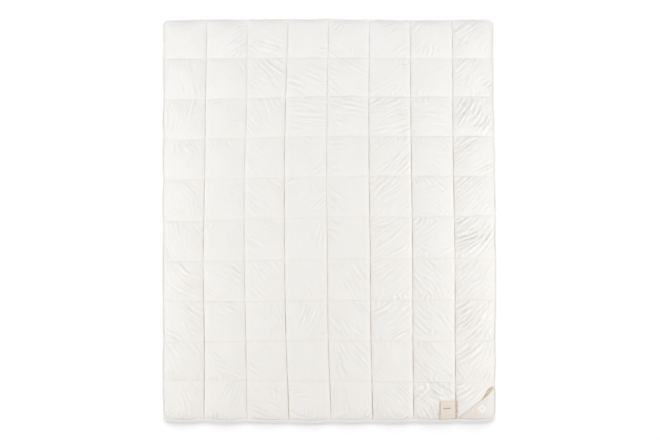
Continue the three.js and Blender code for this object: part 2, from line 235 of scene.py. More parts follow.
# How strongly the cloth is creased in each square, in tenths, from the head row down
CREASED = np.array([
    (10, 11, 9, 12, 10, 9, 12, 9),
    (7, 12, 10, 10, 9, 12, 10, 11),
    (8, 10, 8, 7, 8, 9, 10, 10),
    (10, 10, 7, 10, 10, 7, 10, 10),
    (9, 10, 7, 10, 7, 6, 11, 8),
    (9, 10, 8, 9, 13, 7, 12, 9),
    (6, 6, 7, 10, 7, 7, 10, 8),
    (8, 10, 10, 8, 12, 8, 8, 11),
    (10, 10, 9, 10, 9, 13, 9, 8),
    (12, 10, 9, 10, 10, 12, 12, 12),
]) / 10
# Creases of the cloth: from x, y to x, y in centimetres, and depth in tenths
CREASES = """
-59 98 -50 106 7   -57 102 -50 107 6   -61 101 -54 107 4   -58 111 -51 115 4   -47 107 -27 101 9
-48 106 -41 101 7   -48 103 -44 99 7   -41 102 -29 98 6   -48 100 -45 98 6   -5 101 -1 102 4
-93 95 -92 86 7   -95 88 -93 81 5   -90 96 -89 91 6   -85 96 -84 89 5   -81 96 -80 89 6   -86 80 -84 74 4
-82 81 -81 74 5   -79 80 -77 74 5   -56 95 -53 89 4   -54 94 -50 89 4   -43 94 -31 81 10   -39 96 -27 86 9
-35 96 -26 90 8   -47 92 -37 82 5   -37 83 -30 77 8   -48 83 -43 79 6   -48 80 -41 75 5   -41 79 -36 75 5
-24 84 -14 79 8   -24 81 -13 75 6   -13 93 -2 87 5   -15 89 -3 84 4   -8 79 -1 80 6   -83 61 -81 71 7
-82 63 -80 71 5   -95 64 -93 71 5   -95 54 -93 67 5   -89 54 -87 63 5   -85 53 -77 59 4   -91 69 -89 63 5
-80 69 -75 63 5   -71 69 -65 72 4   -61 57 -51 58 4   -32 73 -27 65 9   -36 73 -31 66 7   -45 70 -37 54 9
-40 73 -35 61 8   -48 64 -41 54 8   -48 59 -44 53 9   -48 55 -45 51 7   -44 73 -41 67 6   -24 69 -11 68 8
-15 71 -2 67 9   -23 64 -2 63 9   -21 59 -5 60 8   -16 57 -2 59 7   -24 56 -11 54 6   -11 73 -1 70 8
-7 54 -1 57 6   -16 73 -11 69 6   -91 46 -90 41 7   -84 46 -80 40 8   -82 47 -79 41 6   -68 47 -67 44 4
-60 48 -59 45 4   -45 44 -33 35 5   -41 47 -32 39 4   -48 35 -41 27 6   -47 38 -39 31 4   -37 48 -35 45 4
-32 48 -31 45 4   -11 27 -2 33 4   -15 49 -11 45 4   -87 22 -77 12 6   -82 23 -75 17 6   -82 13 -80 3 5
-58 22 -51 18 4   -73 8 -69 2 5   -39 24 -27 14 8   -36 25 -27 18 6   -47 22 -41 16 4   -48 15 -38 4 5
-43 15 -33 4 4   -48 7 -44 2 6   -33 10 -27 4 4   -24 22 -20 24 5   -10 22 -9 16 4   -9 4 -1 11 5
-6 13 -1 17 4   2 114 5 117 5   5 113 8 117 4   0 105 8 99 5   0 102 6 98 5   16 98 17 102 5
38 98 47 105 7   41 98 48 102 6   33 111 42 116 5   36 114 40 117 4   51 113 55 117 5   55 114 57 117 4
59 98 60 104 5   62 98 64 104 5   57 99 58 102 4   76 111 84 117 9   80 110 89 117 8   77 102 82 109 6
82 103 89 112 5   90 100 94 107 5   79 98 83 103 4   7 95 15 90 6   12 92 22 87 6   1 89 7 87 5
0 83 7 76 6   0 79 4 75 5   16 83 21 76 4   0 93 4 91 4   38 75 42 79 5   40 89 47 94 4   44 83 48 87 4
76 89 84 96 8   76 92 80 96 7   85 90 89 96 5   92 79 96 82 10   76 83 82 88 4   87 78 93 83 4
83 81 84 85 4   0 70 21 66 8   7 70 22 67 7   0 65 17 64 5   0 62 7 56 7   4 61 13 58 5   0 57 3 53 6
7 73 8 71 5   14 64 23 65 5   25 68 34 73 9   30 67 45 73 8   25 65 35 67 6   30 59 47 67 8   35 57 48 62 8
26 52 37 54 6   40 53 48 56 8   42 64 48 65 6   64 73 72 63 5   59 73 65 67 4   50 63 67 62 5
57 59 73 57 4   67 59 73 51 4   51 71 53 67 4   77 67 80 72 9   78 57 83 66 12   84 65 87 72 11
84 57 90 64 13   90 54 95 62 14   87 54 90 58 9   76 62 80 65 8   93 67 96 72 7   94 54 97 58 9
80 67 83 71 9   0 47 9 46 4   0 34 4 30 4   0 30 5 28 4   32 27 47 44 11   37 27 48 39 10   41 27 48 34 9
26 44 33 50 6   26 38 35 45 5   30 43 40 49 5   27 28 34 33 5   44 44 48 49 7   51 48 54 44 5
56 50 57 45 4   65 49 73 44 5   67 46 73 38 4   57 39 69 30 4   61 30 63 27 5   66 30 67 27 4
75 41 84 46 12   79 44 87 49 10   76 45 80 49 9   76 34 79 36 9   87 28 97 33 11   90 27 97 30 8
82 48 96 49 5   0 19 7 13 6   0 15 10 9 6   0 12 6 5 7   0 8 4 3 5   4 10 12 8 4   25 19 32 25 9
26 15 37 25 9   26 9 41 21 9   28 5 47 23 8   31 3 42 14 7   40 4 48 11 6   37 22 41 26 7   52 25 54 21 6
57 26 61 19 6   62 24 69 17 6   54 19 59 17 4   61 10 70 3 5   67 4 69 7 5   53 7 59 4 4   75 16 87 26 12
76 20 82 26 10   76 11 92 24 10   77 5 85 14 7   87 13 95 23 6   92 7 95 10 8   84 3 91 11 6
-91 -1 -90 -10 5   -82 -1 -77 -7 5   -87 -8 -86 -15 5   -89 -1 -88 -7 4   -97 -15 -92 -25 7
-95 -1 -94 -6 4   -88 -19 -82 -23 4   -74 -7 -69 -1 5   -74 -5 -71 -2 4   -54 -1 -51 -4 4   -41 -2 -32 -7 6
-37 -1 -27 -6 6   -49 -12 -39 -19 8   -49 -15 -42 -19 7   -49 -17 -44 -20 6   -48 -8 -42 -13 4
-49 -3 -45 -4 4   -8 -12 -5 -2 5   -6 -15 -4 -6 4   -96 -19 -83 -33 10   -95 -24 -83 -33 8
-97 -36 -78 -46 11   -87 -31 -76 -35 8   -97 -35 -89 -42 7   -85 -36 -76 -42 6   -83 -27 -76 -32 5
-68 -28 -57 -32 7   -61 -26 -51 -35 8   -66 -31 -51 -36 6   -58 -26 -53 -30 6   -74 -39 -67 -46 8
-72 -38 -63 -45 6   -63 -45 -61 -41 4   -48 -26 -41 -32 5   -45 -26 -35 -39 7   -39 -24 -32 -33 7
-36 -24 -29 -31 6   -48 -39 -41 -45 5   -42 -40 -36 -49 6   -48 -44 -45 -47 4   -14 -41 -10 -47 4
-4 -38 -4 -47 4   -88 -50 -78 -59 11   -83 -50 -76 -55 7   -87 -60 -84 -67 5   -97 -67 -88 -72 10
-90 -59 -79 -69 4   -84 -65 -77 -69 5   -64 -50 -57 -55 8   -71 -52 -61 -57 4   -66 -55 -57 -57 4
-31 -55 -27 -64 5   -33 -51 -31 -55 4   -15 -49 -15 -57 5   -12 -50 -16 -63 6   -6 -49 -12 -64 6
-11 -71 -1 -65 6   -18 -59 -13 -51 4   -14 -68 -8 -60 4   -5 -59 -1 -53 4   -97 -73 -90 -81 7
-84 -73 -77 -81 6   -90 -80 -84 -88 5   -94 -90 -93 -95 7   -89 -91 -87 -95 5   -95 -82 -90 -91 4
-72 -78 -61 -85 5   -68 -87 -57 -91 5   -57 -91 -53 -94 4   -49 -86 -40 -92 6   -48 -83 -45 -89 5
-39 -74 -37 -78 4   -83 -98 -77 -104 5   -88 -101 -84 -110 5   -84 -108 -83 -115 4   -89 -117 -87 -116 9
-96 -116 -95 -115 7   -63 -106 -59 -99 7   -57 -103 -54 -93 7   -60 -110 -57 -105 5   -54 -105 -52 -99 5
-68 -118 -68 -115 10   -63 -118 -61 -116 5   -46 -112 -32 -119 9   -44 -116 -37 -119 7   -33 -99 -33 -105 5
-30 -100 -30 -107 4   -47 -109 -41 -114 5   -37 -106 -27 -112 4   -44 -119 -42 -117 9   -23 -104 -12 -103 5
-24 -100 -16 -100 4   -23 -115 -15 -118 6   -13 -111 -13 -116 5   -7 -119 -6 -118 8   0 -1 5 -4 5
0 -4 5 -5 5   0 -7 4 -11 4   25 -3 32 1 9   26 -5 37 -1 8   27 -11 39 -1 7   27 -18 45 -4 8
36 -21 48 -14 8   31 -19 39 -12 4   26 -6 31 -5 7   41 -11 48 -4 4   52 -8 57 -3 5   54 -10 65 -1 4
53 -14 59 -18 5   53 -18 57 -21 6   51 -1 53 1 6   68 -20 73 -17 4   55 -1 56 2 5   76 -12 90 -7 14
77 -15 87 -11 12   77 -20 93 -10 13   87 -21 97 -7 11   90 -13 97 -4 14   77 -5 84 1 12   76 -1 79 1 9
82 -6 90 0 12   91 -6 95 0 8   93 -16 97 -9 9   4 -25 8 -29 4   7 -25 17 -35 6   13 -24 24 -39 7
8 -34 15 -47 7   15 -35 21 -43 5   20 -27 24 -32 4   26 -29 34 -24 8   27 -33 40 -26 7   29 -37 42 -27 8
37 -35 47 -28 4   41 -46 48 -39 7   44 -45 48 -41 6   27 -24 30 -23 6   57 -23 64 -30 9   51 -29 55 -32 6
51 -33 57 -40 8   57 -33 61 -35 7   62 -37 66 -45 9   63 -29 67 -35 6   57 -40 63 -46 6   67 -25 71 -32 5
56 -47 57 -44 7   71 -45 74 -40 5   77 -29 83 -24 7   77 -40 87 -28 8   79 -45 91 -35 10   87 -25 88 -28 9
87 -45 93 -39 8   83 -46 87 -40 7   91 -38 97 -28 6   93 -46 97 -41 6   77 -35 82 -32 6   77 -24 80 -23 7
12 -45 22 -55 7   4 -59 11 -69 7   7 -65 11 -70 5   12 -59 13 -65 4   14 -64 20 -69 4   6 -51 9 -57 4
17 -49 23 -57 4   26 -56 38 -49 9   29 -52 34 -49 7   41 -56 48 -49 8   44 -54 48 -51 7   37 -70 48 -64 10
41 -61 48 -55 6   26 -63 32 -57 4   32 -65 40 -59 4   57 -49 65 -57 9   61 -51 70 -61 8   51 -60 59 -67 9
53 -57 59 -61 8   59 -60 66 -66 6   61 -69 62 -65 7   66 -55 73 -64 6   52 -69 57 -71 6   53 -51 56 -55 7
69 -65 74 -71 5   77 -54 84 -49 10   77 -59 87 -53 11   78 -63 86 -57 10   81 -65 91 -54 11
87 -64 93 -55 9   78 -69 84 -64 9   83 -71 90 -65 10   90 -71 97 -60 8   93 -55 97 -50 7   77 -51 81 -49 8
96 -67 97 -71 9   5 -74 9 -83 10   6 -84 9 -94 8   12 -74 24 -88 7   17 -75 24 -82 5   11 -73 12 -78 5
12 -89 13 -95 4   28 -85 34 -91 4   52 -81 61 -91 10   54 -75 67 -88 8   59 -74 74 -88 9   67 -75 74 -83 7
54 -90 61 -96 13   63 -96 65 -91 6   66 -90 74 -97 8   61 -95 67 -101 12   71 -89 75 -94 10
57 -85 62 -89 8   77 -85 91 -75 12   77 -88 82 -95 12   85 -93 90 -83 7   80 -80 87 -75 9   83 -88 89 -80 6
91 -85 96 -73 5   93 -95 95 -90 10   76 -82 80 -80 9   95 -71 97 -80 7   92 -88 96 -85 5   4 -99 4 -108 4
7 -99 8 -109 4   10 -108 11 -117 4   21 -118 24 -114 9   17 -110 20 -117 4   8 -119 10 -118 8
4 -110 4 -117 4   41 -98 49 -106 8   37 -101 45 -108 5   27 -110 28 -117 6   30 -106 31 -114 5
33 -101 39 -105 4   41 -113 47 -117 5   43 -119 45 -117 9   36 -114 41 -119 5   46 -119 48 -117 8
52 -108 61 -100 7   53 -113 61 -105 5   61 -103 67 -106 12   66 -96 74 -102 9   69 -101 75 -106 12
57 -112 61 -119 11   61 -110 64 -117 11   53 -114 57 -120 9   52 -101 56 -99 6   62 -99 66 -103 10
77 -106 85 -101 8   76 -100 80 -99 8   76 -103 83 -99 6   85 -107 92 -101 5   80 -109 85 -105 5
"""

# Each crease is a fold: its height at a depth of 1, the power of its depth, its width, how much of that it
# reaches, its bow as a share of its length, how it fades at its ends, and how widely it creases the cloth
FOLD_HEIGHT, FOLD_POWER, FOLD_WIDTH, FOLD_REACH = 3.6, 1.4, (17, 36), 0.5
FOLD_BOW, FOLD_FADE, CREASED_AROUND = 0.07, 14.0, 25
# Seams hold the cloth down beside them
HELD_BY_LENGTHWISE, HELD_BY_CROSSWISE = 5, 4
# Short puckers at crosswise seams: the seam from the foot, from and to in centimetres, and depth in tenths
PUCKERS = (
    (1, 52, 75, 8), (1, -80, -60, 5), (2, 26, 44, 5), (2, 51, 64, 8), (3, 27, 50, 7), (3, 51, 74, 8),
    (3, 76, 97, 6), (4, 51, 64, 7), (4, 76, 84, 6), (5, 51, 66, 6), (5, 26, 48, 4), (7, 40, 52, 8),
    (8, 38, 48, 6), (8, 54, 62, 6), (8, 86, 97, 7), (9, 40, 49, 5),
)
PUCKER_STEP, PUCKER_FROM, PUCKER_LENGTH, PUCKER_LEAN, PUCKER_DEPTH = (22, 42), 4, (22, 42), 9, (0.6, 1.2)
# Weaker folds follow on either side of a crease: how far off, how deep, and how much weaker the next one is.
# Their place along it, half length and lean are shares of its length.
FOLLOWERS, FOLLOWING_AT, FOLLOWING_DEPTH, FOLLOWING_FADE = 2, (15, 33), (0.3, 0.8), 0.75
FOLLOWING_ALONG, FOLLOWING_HALF, FOLLOWING_LEAN = 0.35, (0.25, 0.5), 0.06
# By the labels the creases stand alone, and what follows them there is weaker
LONE_FROM, LONE_SHARE = (480.0, -900.0), 0.2

# The cloth on its filling: how far apart its wrinkles are, and how much spare cloth makes them, all over,
# at each crease and gathered at the seams
WRINKLE_SPACING = 33.0
EVEN_SLACK, EVEN_CELL, EVEN_SHARE = 0.0014, 20, 0.5
CREASE_WIDTH, CREASE_FADE, CREASE_SLACK, CREASE_NEAR = 17.0, 24.0, 0.0075, 60
GATHER_SLACK, GATHER_REACH, GATHER_CELL, GATHER_SHARE, GATHER_MOST = 0.0015, 17.0, 11, 0.8, 2.5
# The first traces, from which the wrinkles grow: everywhere, and along each crease
TRACE_EVERYWHERE, TRACE_CELL, TRACE_HEIGHT, TRACE_WIDTH = 0.02, 2, 0.3, 8
# The solver takes the push of the spare cloth anew at every fifth step, and smooths what is used up first.
# The push stays within these limits, as multiples of the one at which flat cloth buckles.
SOLVER_STEPS, QUICK_STEPS, SOLVER_STEP, STIFFNESS, PUSH_EVERY, PUSH_ROUNDS = 1300, 200, 1.6, 60.0, 5, 3
PUSH_AT_REST, PULL_MOST, PUSH_MOST, SHEAR_MOST = 0.98, 2, 2.2, 1.1
# How much the squares around a square count in the way of its creases
WAY_SHARED = 0.15
SEED = 11


def crease_lines():
    """The creases as both x, both y and depth, in mm"""
    numbers = np.array(CREASES.split(), float).reshape(-1, 5)
    xs, ys = numbers[:, [0, 2]] * 10, numbers[:, [1, 3]] * 10
    column = np.clip((1 + xs.mean(1) / HALF_WIDTH) / 2 * COLUMNS, 0, COLUMNS - 1).astype(int)
    row = np.clip((1 - ys.mean(1) / HALF_LENGTH) / 2 * ROWS, 0, ROWS - 1).astype(int)
    return zip(xs, ys, numbers[:, 4] / 10 * CREASED[row, column])


def bundles(random):
    """Every crease and the folds that follow it, as crease_lines gives them"""
    for xs, ys, depth in crease_lines():
        yield xs, ys, depth
        span = np.array([xs[1] - xs[0], ys[1] - ys[0]])
        length = np.linalg.norm(span)
        across = np.array([-span[1], span[0]]) / length
        middle = np.array([xs.mean(), ys.mean()])
        share = LONE_SHARE if middle[0] > LONE_FROM[0] and middle[1] < LONE_FROM[1] else 1
        for side in (-1, 1):
            off = 0.0
            for k in range(random.integers(0, FOLLOWERS + 1)):
                off += random.uniform(*FOLLOWING_AT)
                along = span * random.uniform(-FOLLOWING_ALONG, FOLLOWING_ALONG)
                start = middle + side * off * across + along
                half = span * random.uniform(*FOLLOWING_HALF)
                half = half + across * length * random.uniform(-FOLLOWING_LEAN, FOLLOWING_LEAN)
                weaker = depth * random.uniform(*FOLLOWING_DEPTH) * FOLLOWING_FADE ** k
                ends = np.array([start - half, start + half])
                yield ends[:, 0], ends[:, 1], weaker * share


def puckers(random):
    """The short folds that start at the crosswise seams, as crease_lines gives them"""
    for line, start, end, depth in PUCKERS:
        x = 10.0 * start
        while x < 10 * end:
            seam = float(curve(CROSSWISE[line - 1], (x / HALF_WIDTH + 1) / 2, 1))
            way = random.choice((-1, 1))
            length = random.uniform(*PUCKER_LENGTH)
            lean = random.uniform(-PUCKER_LEAN, PUCKER_LEAN)
            xs, ys = np.array([x, x + lean]), seam + way * np.array([PUCKER_FROM, length])
            yield xs, ys, depth / 10 * random.uniform(*PUCKER_DEPTH)
            x += random.uniform(*PUCKER_STEP)


class Cloth:
    """The upper cloth: a thin sheet on soft filling, sewn down along the lines of the grid.

    Spare cloth in one direction lets it buckle into wrinkles across that direction, and each
    wrinkle uses up some of what is spare around it.
    """

    def __init__(self, us, vs):
        self.u, self.v = np.meshgrid(us, vs)
        self.x, self.y = plan(self.u, self.v)
        self.shape = self.u.shape
        self.step_x = np.diff(self.x, axis=1).mean(0)
        self.step_y = np.diff(self.y, axis=0).mean(1)
        self.inner_x = 2 / (self.step_x[1:] + self.step_x[:-1])
        self.inner_y = 2 / (self.step_y[1:] + self.step_y[:-1])
        self.free = ((fraction(self.u, COLUMNS) > 0) & (fraction(self.v, ROWS) > 0)).astype(float)
        self.to_lengthwise, self.to_crosswise = to_seams(self.u, self.v)
        self.random = np.random.default_rng(SEED)

    def beside(self, xs, ys):
        """The part of the grid near a crease, how far along and off it that is, its length and its way"""
        length = math.hypot(xs[1] - xs[0], ys[1] - ys[0])
        tx, ty = (xs[1] - xs[0]) / length, (ys[1] - ys[0]) / length
        middle_x, middle_y = self.x[self.shape[0] // 2], self.y[:, self.shape[1] // 2]
        left, right = np.searchsorted(middle_x, [min(xs) - CREASE_NEAR, max(xs) + CREASE_NEAR])
        low, high = np.searchsorted(middle_y, [min(ys) - CREASE_NEAR, max(ys) + CREASE_NEAR])
        part = (slice(low, high), slice(left, right))
        px, py = self.x[part] - (xs[0] + xs[1]) / 2, self.y[part] - (ys[0] + ys[1]) / 2
        return part, px * tx + py * ty, py * tx - px * ty, length, tx, ty

    def folds(self):
        """The height of the creases, and how creased the cloth is around them"""
        height, creased = np.zeros(self.shape), np.zeros(self.shape)
        random = np.random.default_rng(SEED + 7)
        square = np.floor(self.u) + COLUMNS * np.floor(self.v)
        for xs, ys, depth in [*bundles(random), *puckers(random)]:
            part, along, off, length, _, _ = self.beside(xs, ys)
            if not off.size:
                continue
            nearest = np.unravel_index(np.argmin(along ** 2 + off ** 2), off.shape)
            taper = np.clip(1 - (along / (length / 2 + FOLD_FADE)) ** 2, 0, 1)
            taper = taper * (square[part] == square[part][nearest])
            bow = random.uniform(-FOLD_BOW, FOLD_BOW) * length * taper
            across = (off - bow) / random.uniform(*FOLD_WIDTH)
            ripple = np.cos(2 * math.pi * across) * bell(across, FOLD_REACH)
            height[part] += depth ** FOLD_POWER * taper * ripple
            creased[part] = np.maximum(creased[part], depth * taper * bell(off, CREASED_AROUND))
        held = 1 - np.exp(-self.to_lengthwise / HELD_BY_LENGTHWISE)
        held = held * (1 - np.exp(-self.to_crosswise / HELD_BY_CROSSWISE))
        return FOLD_HEIGHT * height * held, creased * held

    def fold_ways(self):
        """The way the creases run in each square, as an angle, shared in part with the squares around"""
        sums = np.zeros((ROWS + 2, COLUMNS + 2, 2))
        for xs, ys, depth in crease_lines():
            row = int(np.interp(ys.mean(), self.y[:, self.shape[1] // 2], self.v[:, 0]))
            column = int(np.interp(xs.mean(), self.x[self.shape[0] // 2], self.u[0]))
            span_x, span_y = xs[1] - xs[0], ys[1] - ys[0]
            sums[row + 1, column + 1] += depth * np.array([span_x ** 2 - span_y ** 2, 2 * span_x * span_y])
        around = sums[:-2, 1:-1] + sums[2:, 1:-1] + sums[1:-1, :-2] + sums[1:-1, 2:]
        shared = sums[1:-1, 1:-1] + WAY_SHARED * around
        return np.arctan2(shared[..., 1], shared[..., 0]) / 2

    def lay_creases(self):
        """Spare cloth as a tensor (xx, xy, yy), and the first trace of each crease"""
        uneven = [1 + EVEN_SHARE * patchy(self.random, self.shape, EVEN_CELL) for _ in range(3)]
        slack = [EVEN_SLACK * uneven[0], EVEN_SHARE * EVEN_SLACK * (uneven[1] - 1), EVEN_SLACK * uneven[2]]
        height = TRACE_EVERYWHERE * patchy(self.random, self.shape, TRACE_CELL)
        for xs, ys, depth in crease_lines():
            part, along, off, length, tx, ty = self.beside(xs, ys)
            held = np.clip((length / 2 + CREASE_FADE / 2 - np.abs(along)) / CREASE_FADE, 0, 1)
            spare = CREASE_SLACK * depth * held * bell(off, CREASE_WIDTH)
            slack[0][part] += spare * ty * ty
            slack[1][part] -= spare * tx * ty
            slack[2][part] += spare * tx * tx
            ridge = bell(off, TRACE_WIDTH) * (1 - (off / TRACE_WIDTH) ** 2)
            height[part] += TRACE_HEIGHT * depth * held * ridge
        for direction, to_seam in ((2, self.to_lengthwise), (0, self.to_crosswise)):
            gathers = np.clip(1 + GATHER_SHARE * patchy(self.random, self.shape, GATHER_CELL), 0, GATHER_MOST)
            slack[direction] += GATHER_SLACK * bell(to_seam, GATHER_REACH) * gathers
        return [part.astype(np.float32) for part in slack], (height * self.free).astype(np.float32)

    def slopes(self, height):
        """How steep the cloth is across and along, at each point"""
        across, along = np.zeros_like(height), np.zeros_like(height)
        across[:, 1:-1] = (height[:, 2:] - height[:, :-2]) * (self.inner_x / 2)
        along[1:-1] = (height[2:] - height[:-2]) * (self.inner_y / 2)[:, None]
        return across, along

    def spread(self, across, along):
        """The divergence of a flow that is given half way between the points"""
        out = np.zeros(self.shape, np.float32)
        out[:, 1:-1] += (across[:, 1:] - across[:, :-1]) * self.inner_x
        out[1:-1] += (along[1:] - along[:-1]) * self.inner_y[:, None]
        return out

    def steepness(self, height):
        """How steep the cloth is across and along, half way between the points"""
        across = (height[:, 1:] - height[:, :-1]) / self.step_x
        along = (height[1:] - height[:-1]) / self.step_y[:, None]
        return across, along

    def wrinkles(self, steps):
        """The height of the wrinkles on the smooth squares"""
        slack, height = self.lay_creases()
        for name in ("step_x", "step_y", "inner_x", "inner_y"):
            setattr(self, name, getattr(self, name).astype(np.float32))
        free = self.free.astype(np.float32)
        wave_number = 2 * math.pi / WRINKLE_SPACING
        foundation = np.float32(wave_number ** 4)
        threshold = 2 * wave_number ** 2
        at_rest, lowest, highest = PUSH_AT_REST * threshold, -PULL_MOST * threshold, PUSH_MOST * threshold
        for step in range(steps):
            across, along = self.slopes(height)
            if step % PUSH_EVERY == 0:
                grown = min(1, (step + 1) / (0.5 * steps))
                squared = (across * across, across * along, along * along)
                used = [average(part, PUSH_ROUNDS) / 2 for part in squared]
                push = [STIFFNESS * (spare * grown - gone) for spare, gone in zip(slack, used)]
                push_xx = np.clip(push[0] + at_rest, lowest, highest)
                push_yy = np.clip(push[2] + at_rest, lowest, highest)
                push_xy = np.clip(push[1], -SHEAR_MOST * threshold, SHEAR_MOST * threshold)
                straight_x, straight_y = half_way(push_xx, 1), half_way(push_yy, 0)
                shear_x, shear_y = half_way(push_xy, 1), half_way(push_xy, 0)
            steep_x, steep_y = self.steepness(height)
            buckling = self.spread(
                straight_x * steep_x + shear_x * half_way(along, 1),
                straight_y * steep_y + shear_y * half_way(across, 0),
            )
            curved = self.spread(steep_x, steep_y)
            bending = self.spread(*self.steepness(curved))
            height -= SOLVER_STEP * (buckling + bending + foundation * height) * free
        return height


def half_way(values, axis):
    """Values half way between the points, along one axis"""
    return (values[:, 1:] + values[:, :-1]) / 2 if axis else (values[1:] + values[:-1]) / 2


def average(values, times):
    """Smooths a grid of values in place"""
    for _ in range(times):
        values[:, 1:-1] = (values[:, :-2] + 2 * values[:, 1:-1] + values[:, 2:]) / 4
        values[1:-1] = (values[:-2] + 2 * values[1:-1] + values[2:]) / 4
    return values


def rise(distance, half, grooves, to_foot, strength=1.0):
    """0 at a seam and 1 half way to the next one: narrow grooves, then a shallow dome"""
    height = 1 - (1 - np.clip(distance / half, 0, 1)) ** 2
    for at_head, at_foot, reach in grooves:
        share = (at_head + (at_foot - at_head) * to_foot) * strength
        height = height + share * (1 - np.exp(-distance / reach) - height)
    return height


def counts(squares):
    """The counts at which the upper cloth is divided, rim included"""
    inner = [square + SHARES for square in range(squares)]
    return np.concatenate([[-1], *inner, [squares, squares + 1]])


def make_piece(name, points, faces, materials, slot, face_materials=None):
    """An object from points in mm and its faces"""
    mesh = bpy.data.meshes.new(name)
    mesh.from_pydata((np.asarray(points, float) * MM).tolist(), [], faces)
    for material in materials:
        mesh.materials.append(material)
    mesh.polygons.foreach_set("use_smooth", [True] * len(mesh.polygons))
    if face_materials is not None:
        mesh.polygons.foreach_set("material_index", list(face_materials))
    mesh.update()
    piece = bpy.data.objects.new(name, mesh)
    bpy.context.collection.objects.link(piece)
    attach(piece, BODY)
    return piece


def add_values(piece, name, values):
    """One number for each point of a piece, which its material reads"""
    attribute = piece.data.attributes.new(name, "FLOAT", "POINT")
    attribute.data.foreach_set("value", np.asarray(values, np.float32))


def add_places(piece, name, places):
    """A place for each point of a piece, in mm, which its material reads in metres"""
    attribute = piece.data.attributes.new(name, "FLOAT_VECTOR", "POINT")
    attribute.data.foreach_set("vector", (np.asarray(places, np.float32) * MM).ravel())


def grid_faces(index, facing_up=True):
    """The faces of a grid of point numbers"""
    corners = [index[:-1, :-1], index[:-1, 1:], index[1:, 1:], index[1:, :-1]]
    if not facing_up:
        corners.reverse()
    return np.stack([corner.ravel() for corner in corners], 1).tolist()


def ring(index):
    """The numbers along a grid's outer edge, anticlockwise from its first corner"""
    return np.concatenate([index[0, :-1], index[:-1, -1], index[-1, :0:-1], index[:0:-1, 0]])


# The visible duvet

# The grooves beside a seam: their shares of the rise at the head and at the foot, and how far they reach
GROOVES = {
    "lengthwise": ((0.07, 0.12, 2.5), (0.18, 0.18, 9.0)),
    "crosswise": ((0.03, 0.01, 3.0), (0.13, 0.02, 10.0)),
    "rim": ((0.25, 0.4, 14.0),),
}
# Crosswise seams lie higher: by this share of the rise
CROSSWISE_UP = 0.42
# How deep each lengthwise seam is, and how strong its painted crevice shade and tan are
SEAM_STRENGTHS = (1.0, 0.55, 1.05, 0.75, 1.15, 1.25, 1.1)
# How far the cloth is drawn to its seams, and how far from them that is felt
PINCH, PINCH_REACH = {"lengthwise": 2.0, "crosswise": 0.8}, 35
CLUMP_SHARE, CLUMP_STEPS = 0.05, 13
WRINKLE_GAIN = 0.8
UNDER_FULLNESS = 0.45

us, vs = counts(COLUMNS), counts(ROWS)
cloth = Cloth(us[1:-1], vs[1:-1])
folds, creased = cloth.folds()
wrinkles = folds + WRINKLE_GAIN * cloth.wrinkles(SOLVER_STEPS)


def of_nearest(values, u):
    """The value of the lengthwise seam that is nearest"""
    return np.array(values)[np.clip(np.round(u).astype(int), 1, COLUMNS - 1) - 1]


def pinched(count, squares, kind, size):
    """Moves the cloth towards its seams, which makes the channels narrow"""
    share = fraction(count, squares)
    nearest = np.where(share < 0.5, share, share - 1) * size
    away = np.abs(nearest)
    shift = PINCH[kind] * away / (away + PINCH[kind]) * np.exp(-away / PINCH_REACH)
    at_rim = (count < 1) & (share < 0.5) | (count > squares - 1) & (share >= 0.5)
    return np.where(at_rim, 0, -np.sign(nearest) * shift)


def upper_cloth():
    """The upper face: its counts of squares and its points, rim included"""
    u, v = np.meshgrid(us, vs)
    x, y = plan(u, v)
    x = x + pinched(u, COLUMNS, "lengthwise", SQUARE_WIDTH) * (wave(v, ROWS) > 0)
    y = y + pinched(v, ROWS, "crosswise", SQUARE_LENGTH) * (wave(u, COLUMNS) > 0)
    random = np.random.default_rng(SEED + 1)
    clumps = 1 + CLUMP_SHARE * patchy(random, cloth.shape, CLUMP_STEPS)
    at_side = (cloth.u < 0.5) | (cloth.u > COLUMNS - 0.5)
    at_end = (cloth.v < 0.5) | (cloth.v > ROWS - 0.5)
    from_side, from_end = cloth.to_lengthwise, cloth.to_crosswise
    half_width, half_length = SQUARE_WIDTH / 2, SQUARE_LENGTH / 2
    to_foot = 1 - cloth.v / ROWS
    strengths = of_nearest(SEAM_STRENGTHS, cloth.u)
    inner_rise = rise(from_side, half_width, GROOVES["lengthwise"], to_foot, strengths)
    across = np.where(at_side, rise(from_side, half_width, GROOVES["rim"], to_foot), inner_rise)
    up_rise = CROSSWISE_UP + (1 - CROSSWISE_UP) * rise(from_end, half_length, GROOVES["crosswise"], to_foot)
    along = np.where(at_end, rise(from_end, half_length, GROOVES["rim"], to_foot), up_rise)
    z = seam_height(u, v) + SEAM_THICKNESS / 2
    inner = (slice(1, -1), slice(1, -1))
    z[inner] += CROWN * filling(cloth.u, cloth.v) * across * along * clumps + wrinkles
    return u, v, np.stack([x, y, z], -1)


def thinned(values):
    """The values that the lower cloth shares with the upper one"""
    return np.concatenate([values[:1], values[1:-1][::UNDERSIDE_EVERY], values[-1:]])


def under_cloth():
    """The points of the lower face, flat where a square rests on something"""
    u, v = np.meshgrid(thinned(us), thinned(vs))
    x, y = plan(u, v)
    s, t = fraction(u, COLUMNS), fraction(v, ROWS)
    pillow = (16 * s * (1 - s) * t * (1 - t)) ** UNDER_FULLNESS
    z = np.maximum(0, seam_height(u, v) - SEAM_THICKNESS / 2 - BELLY * pillow)
    return np.stack([x, y, z], -1)


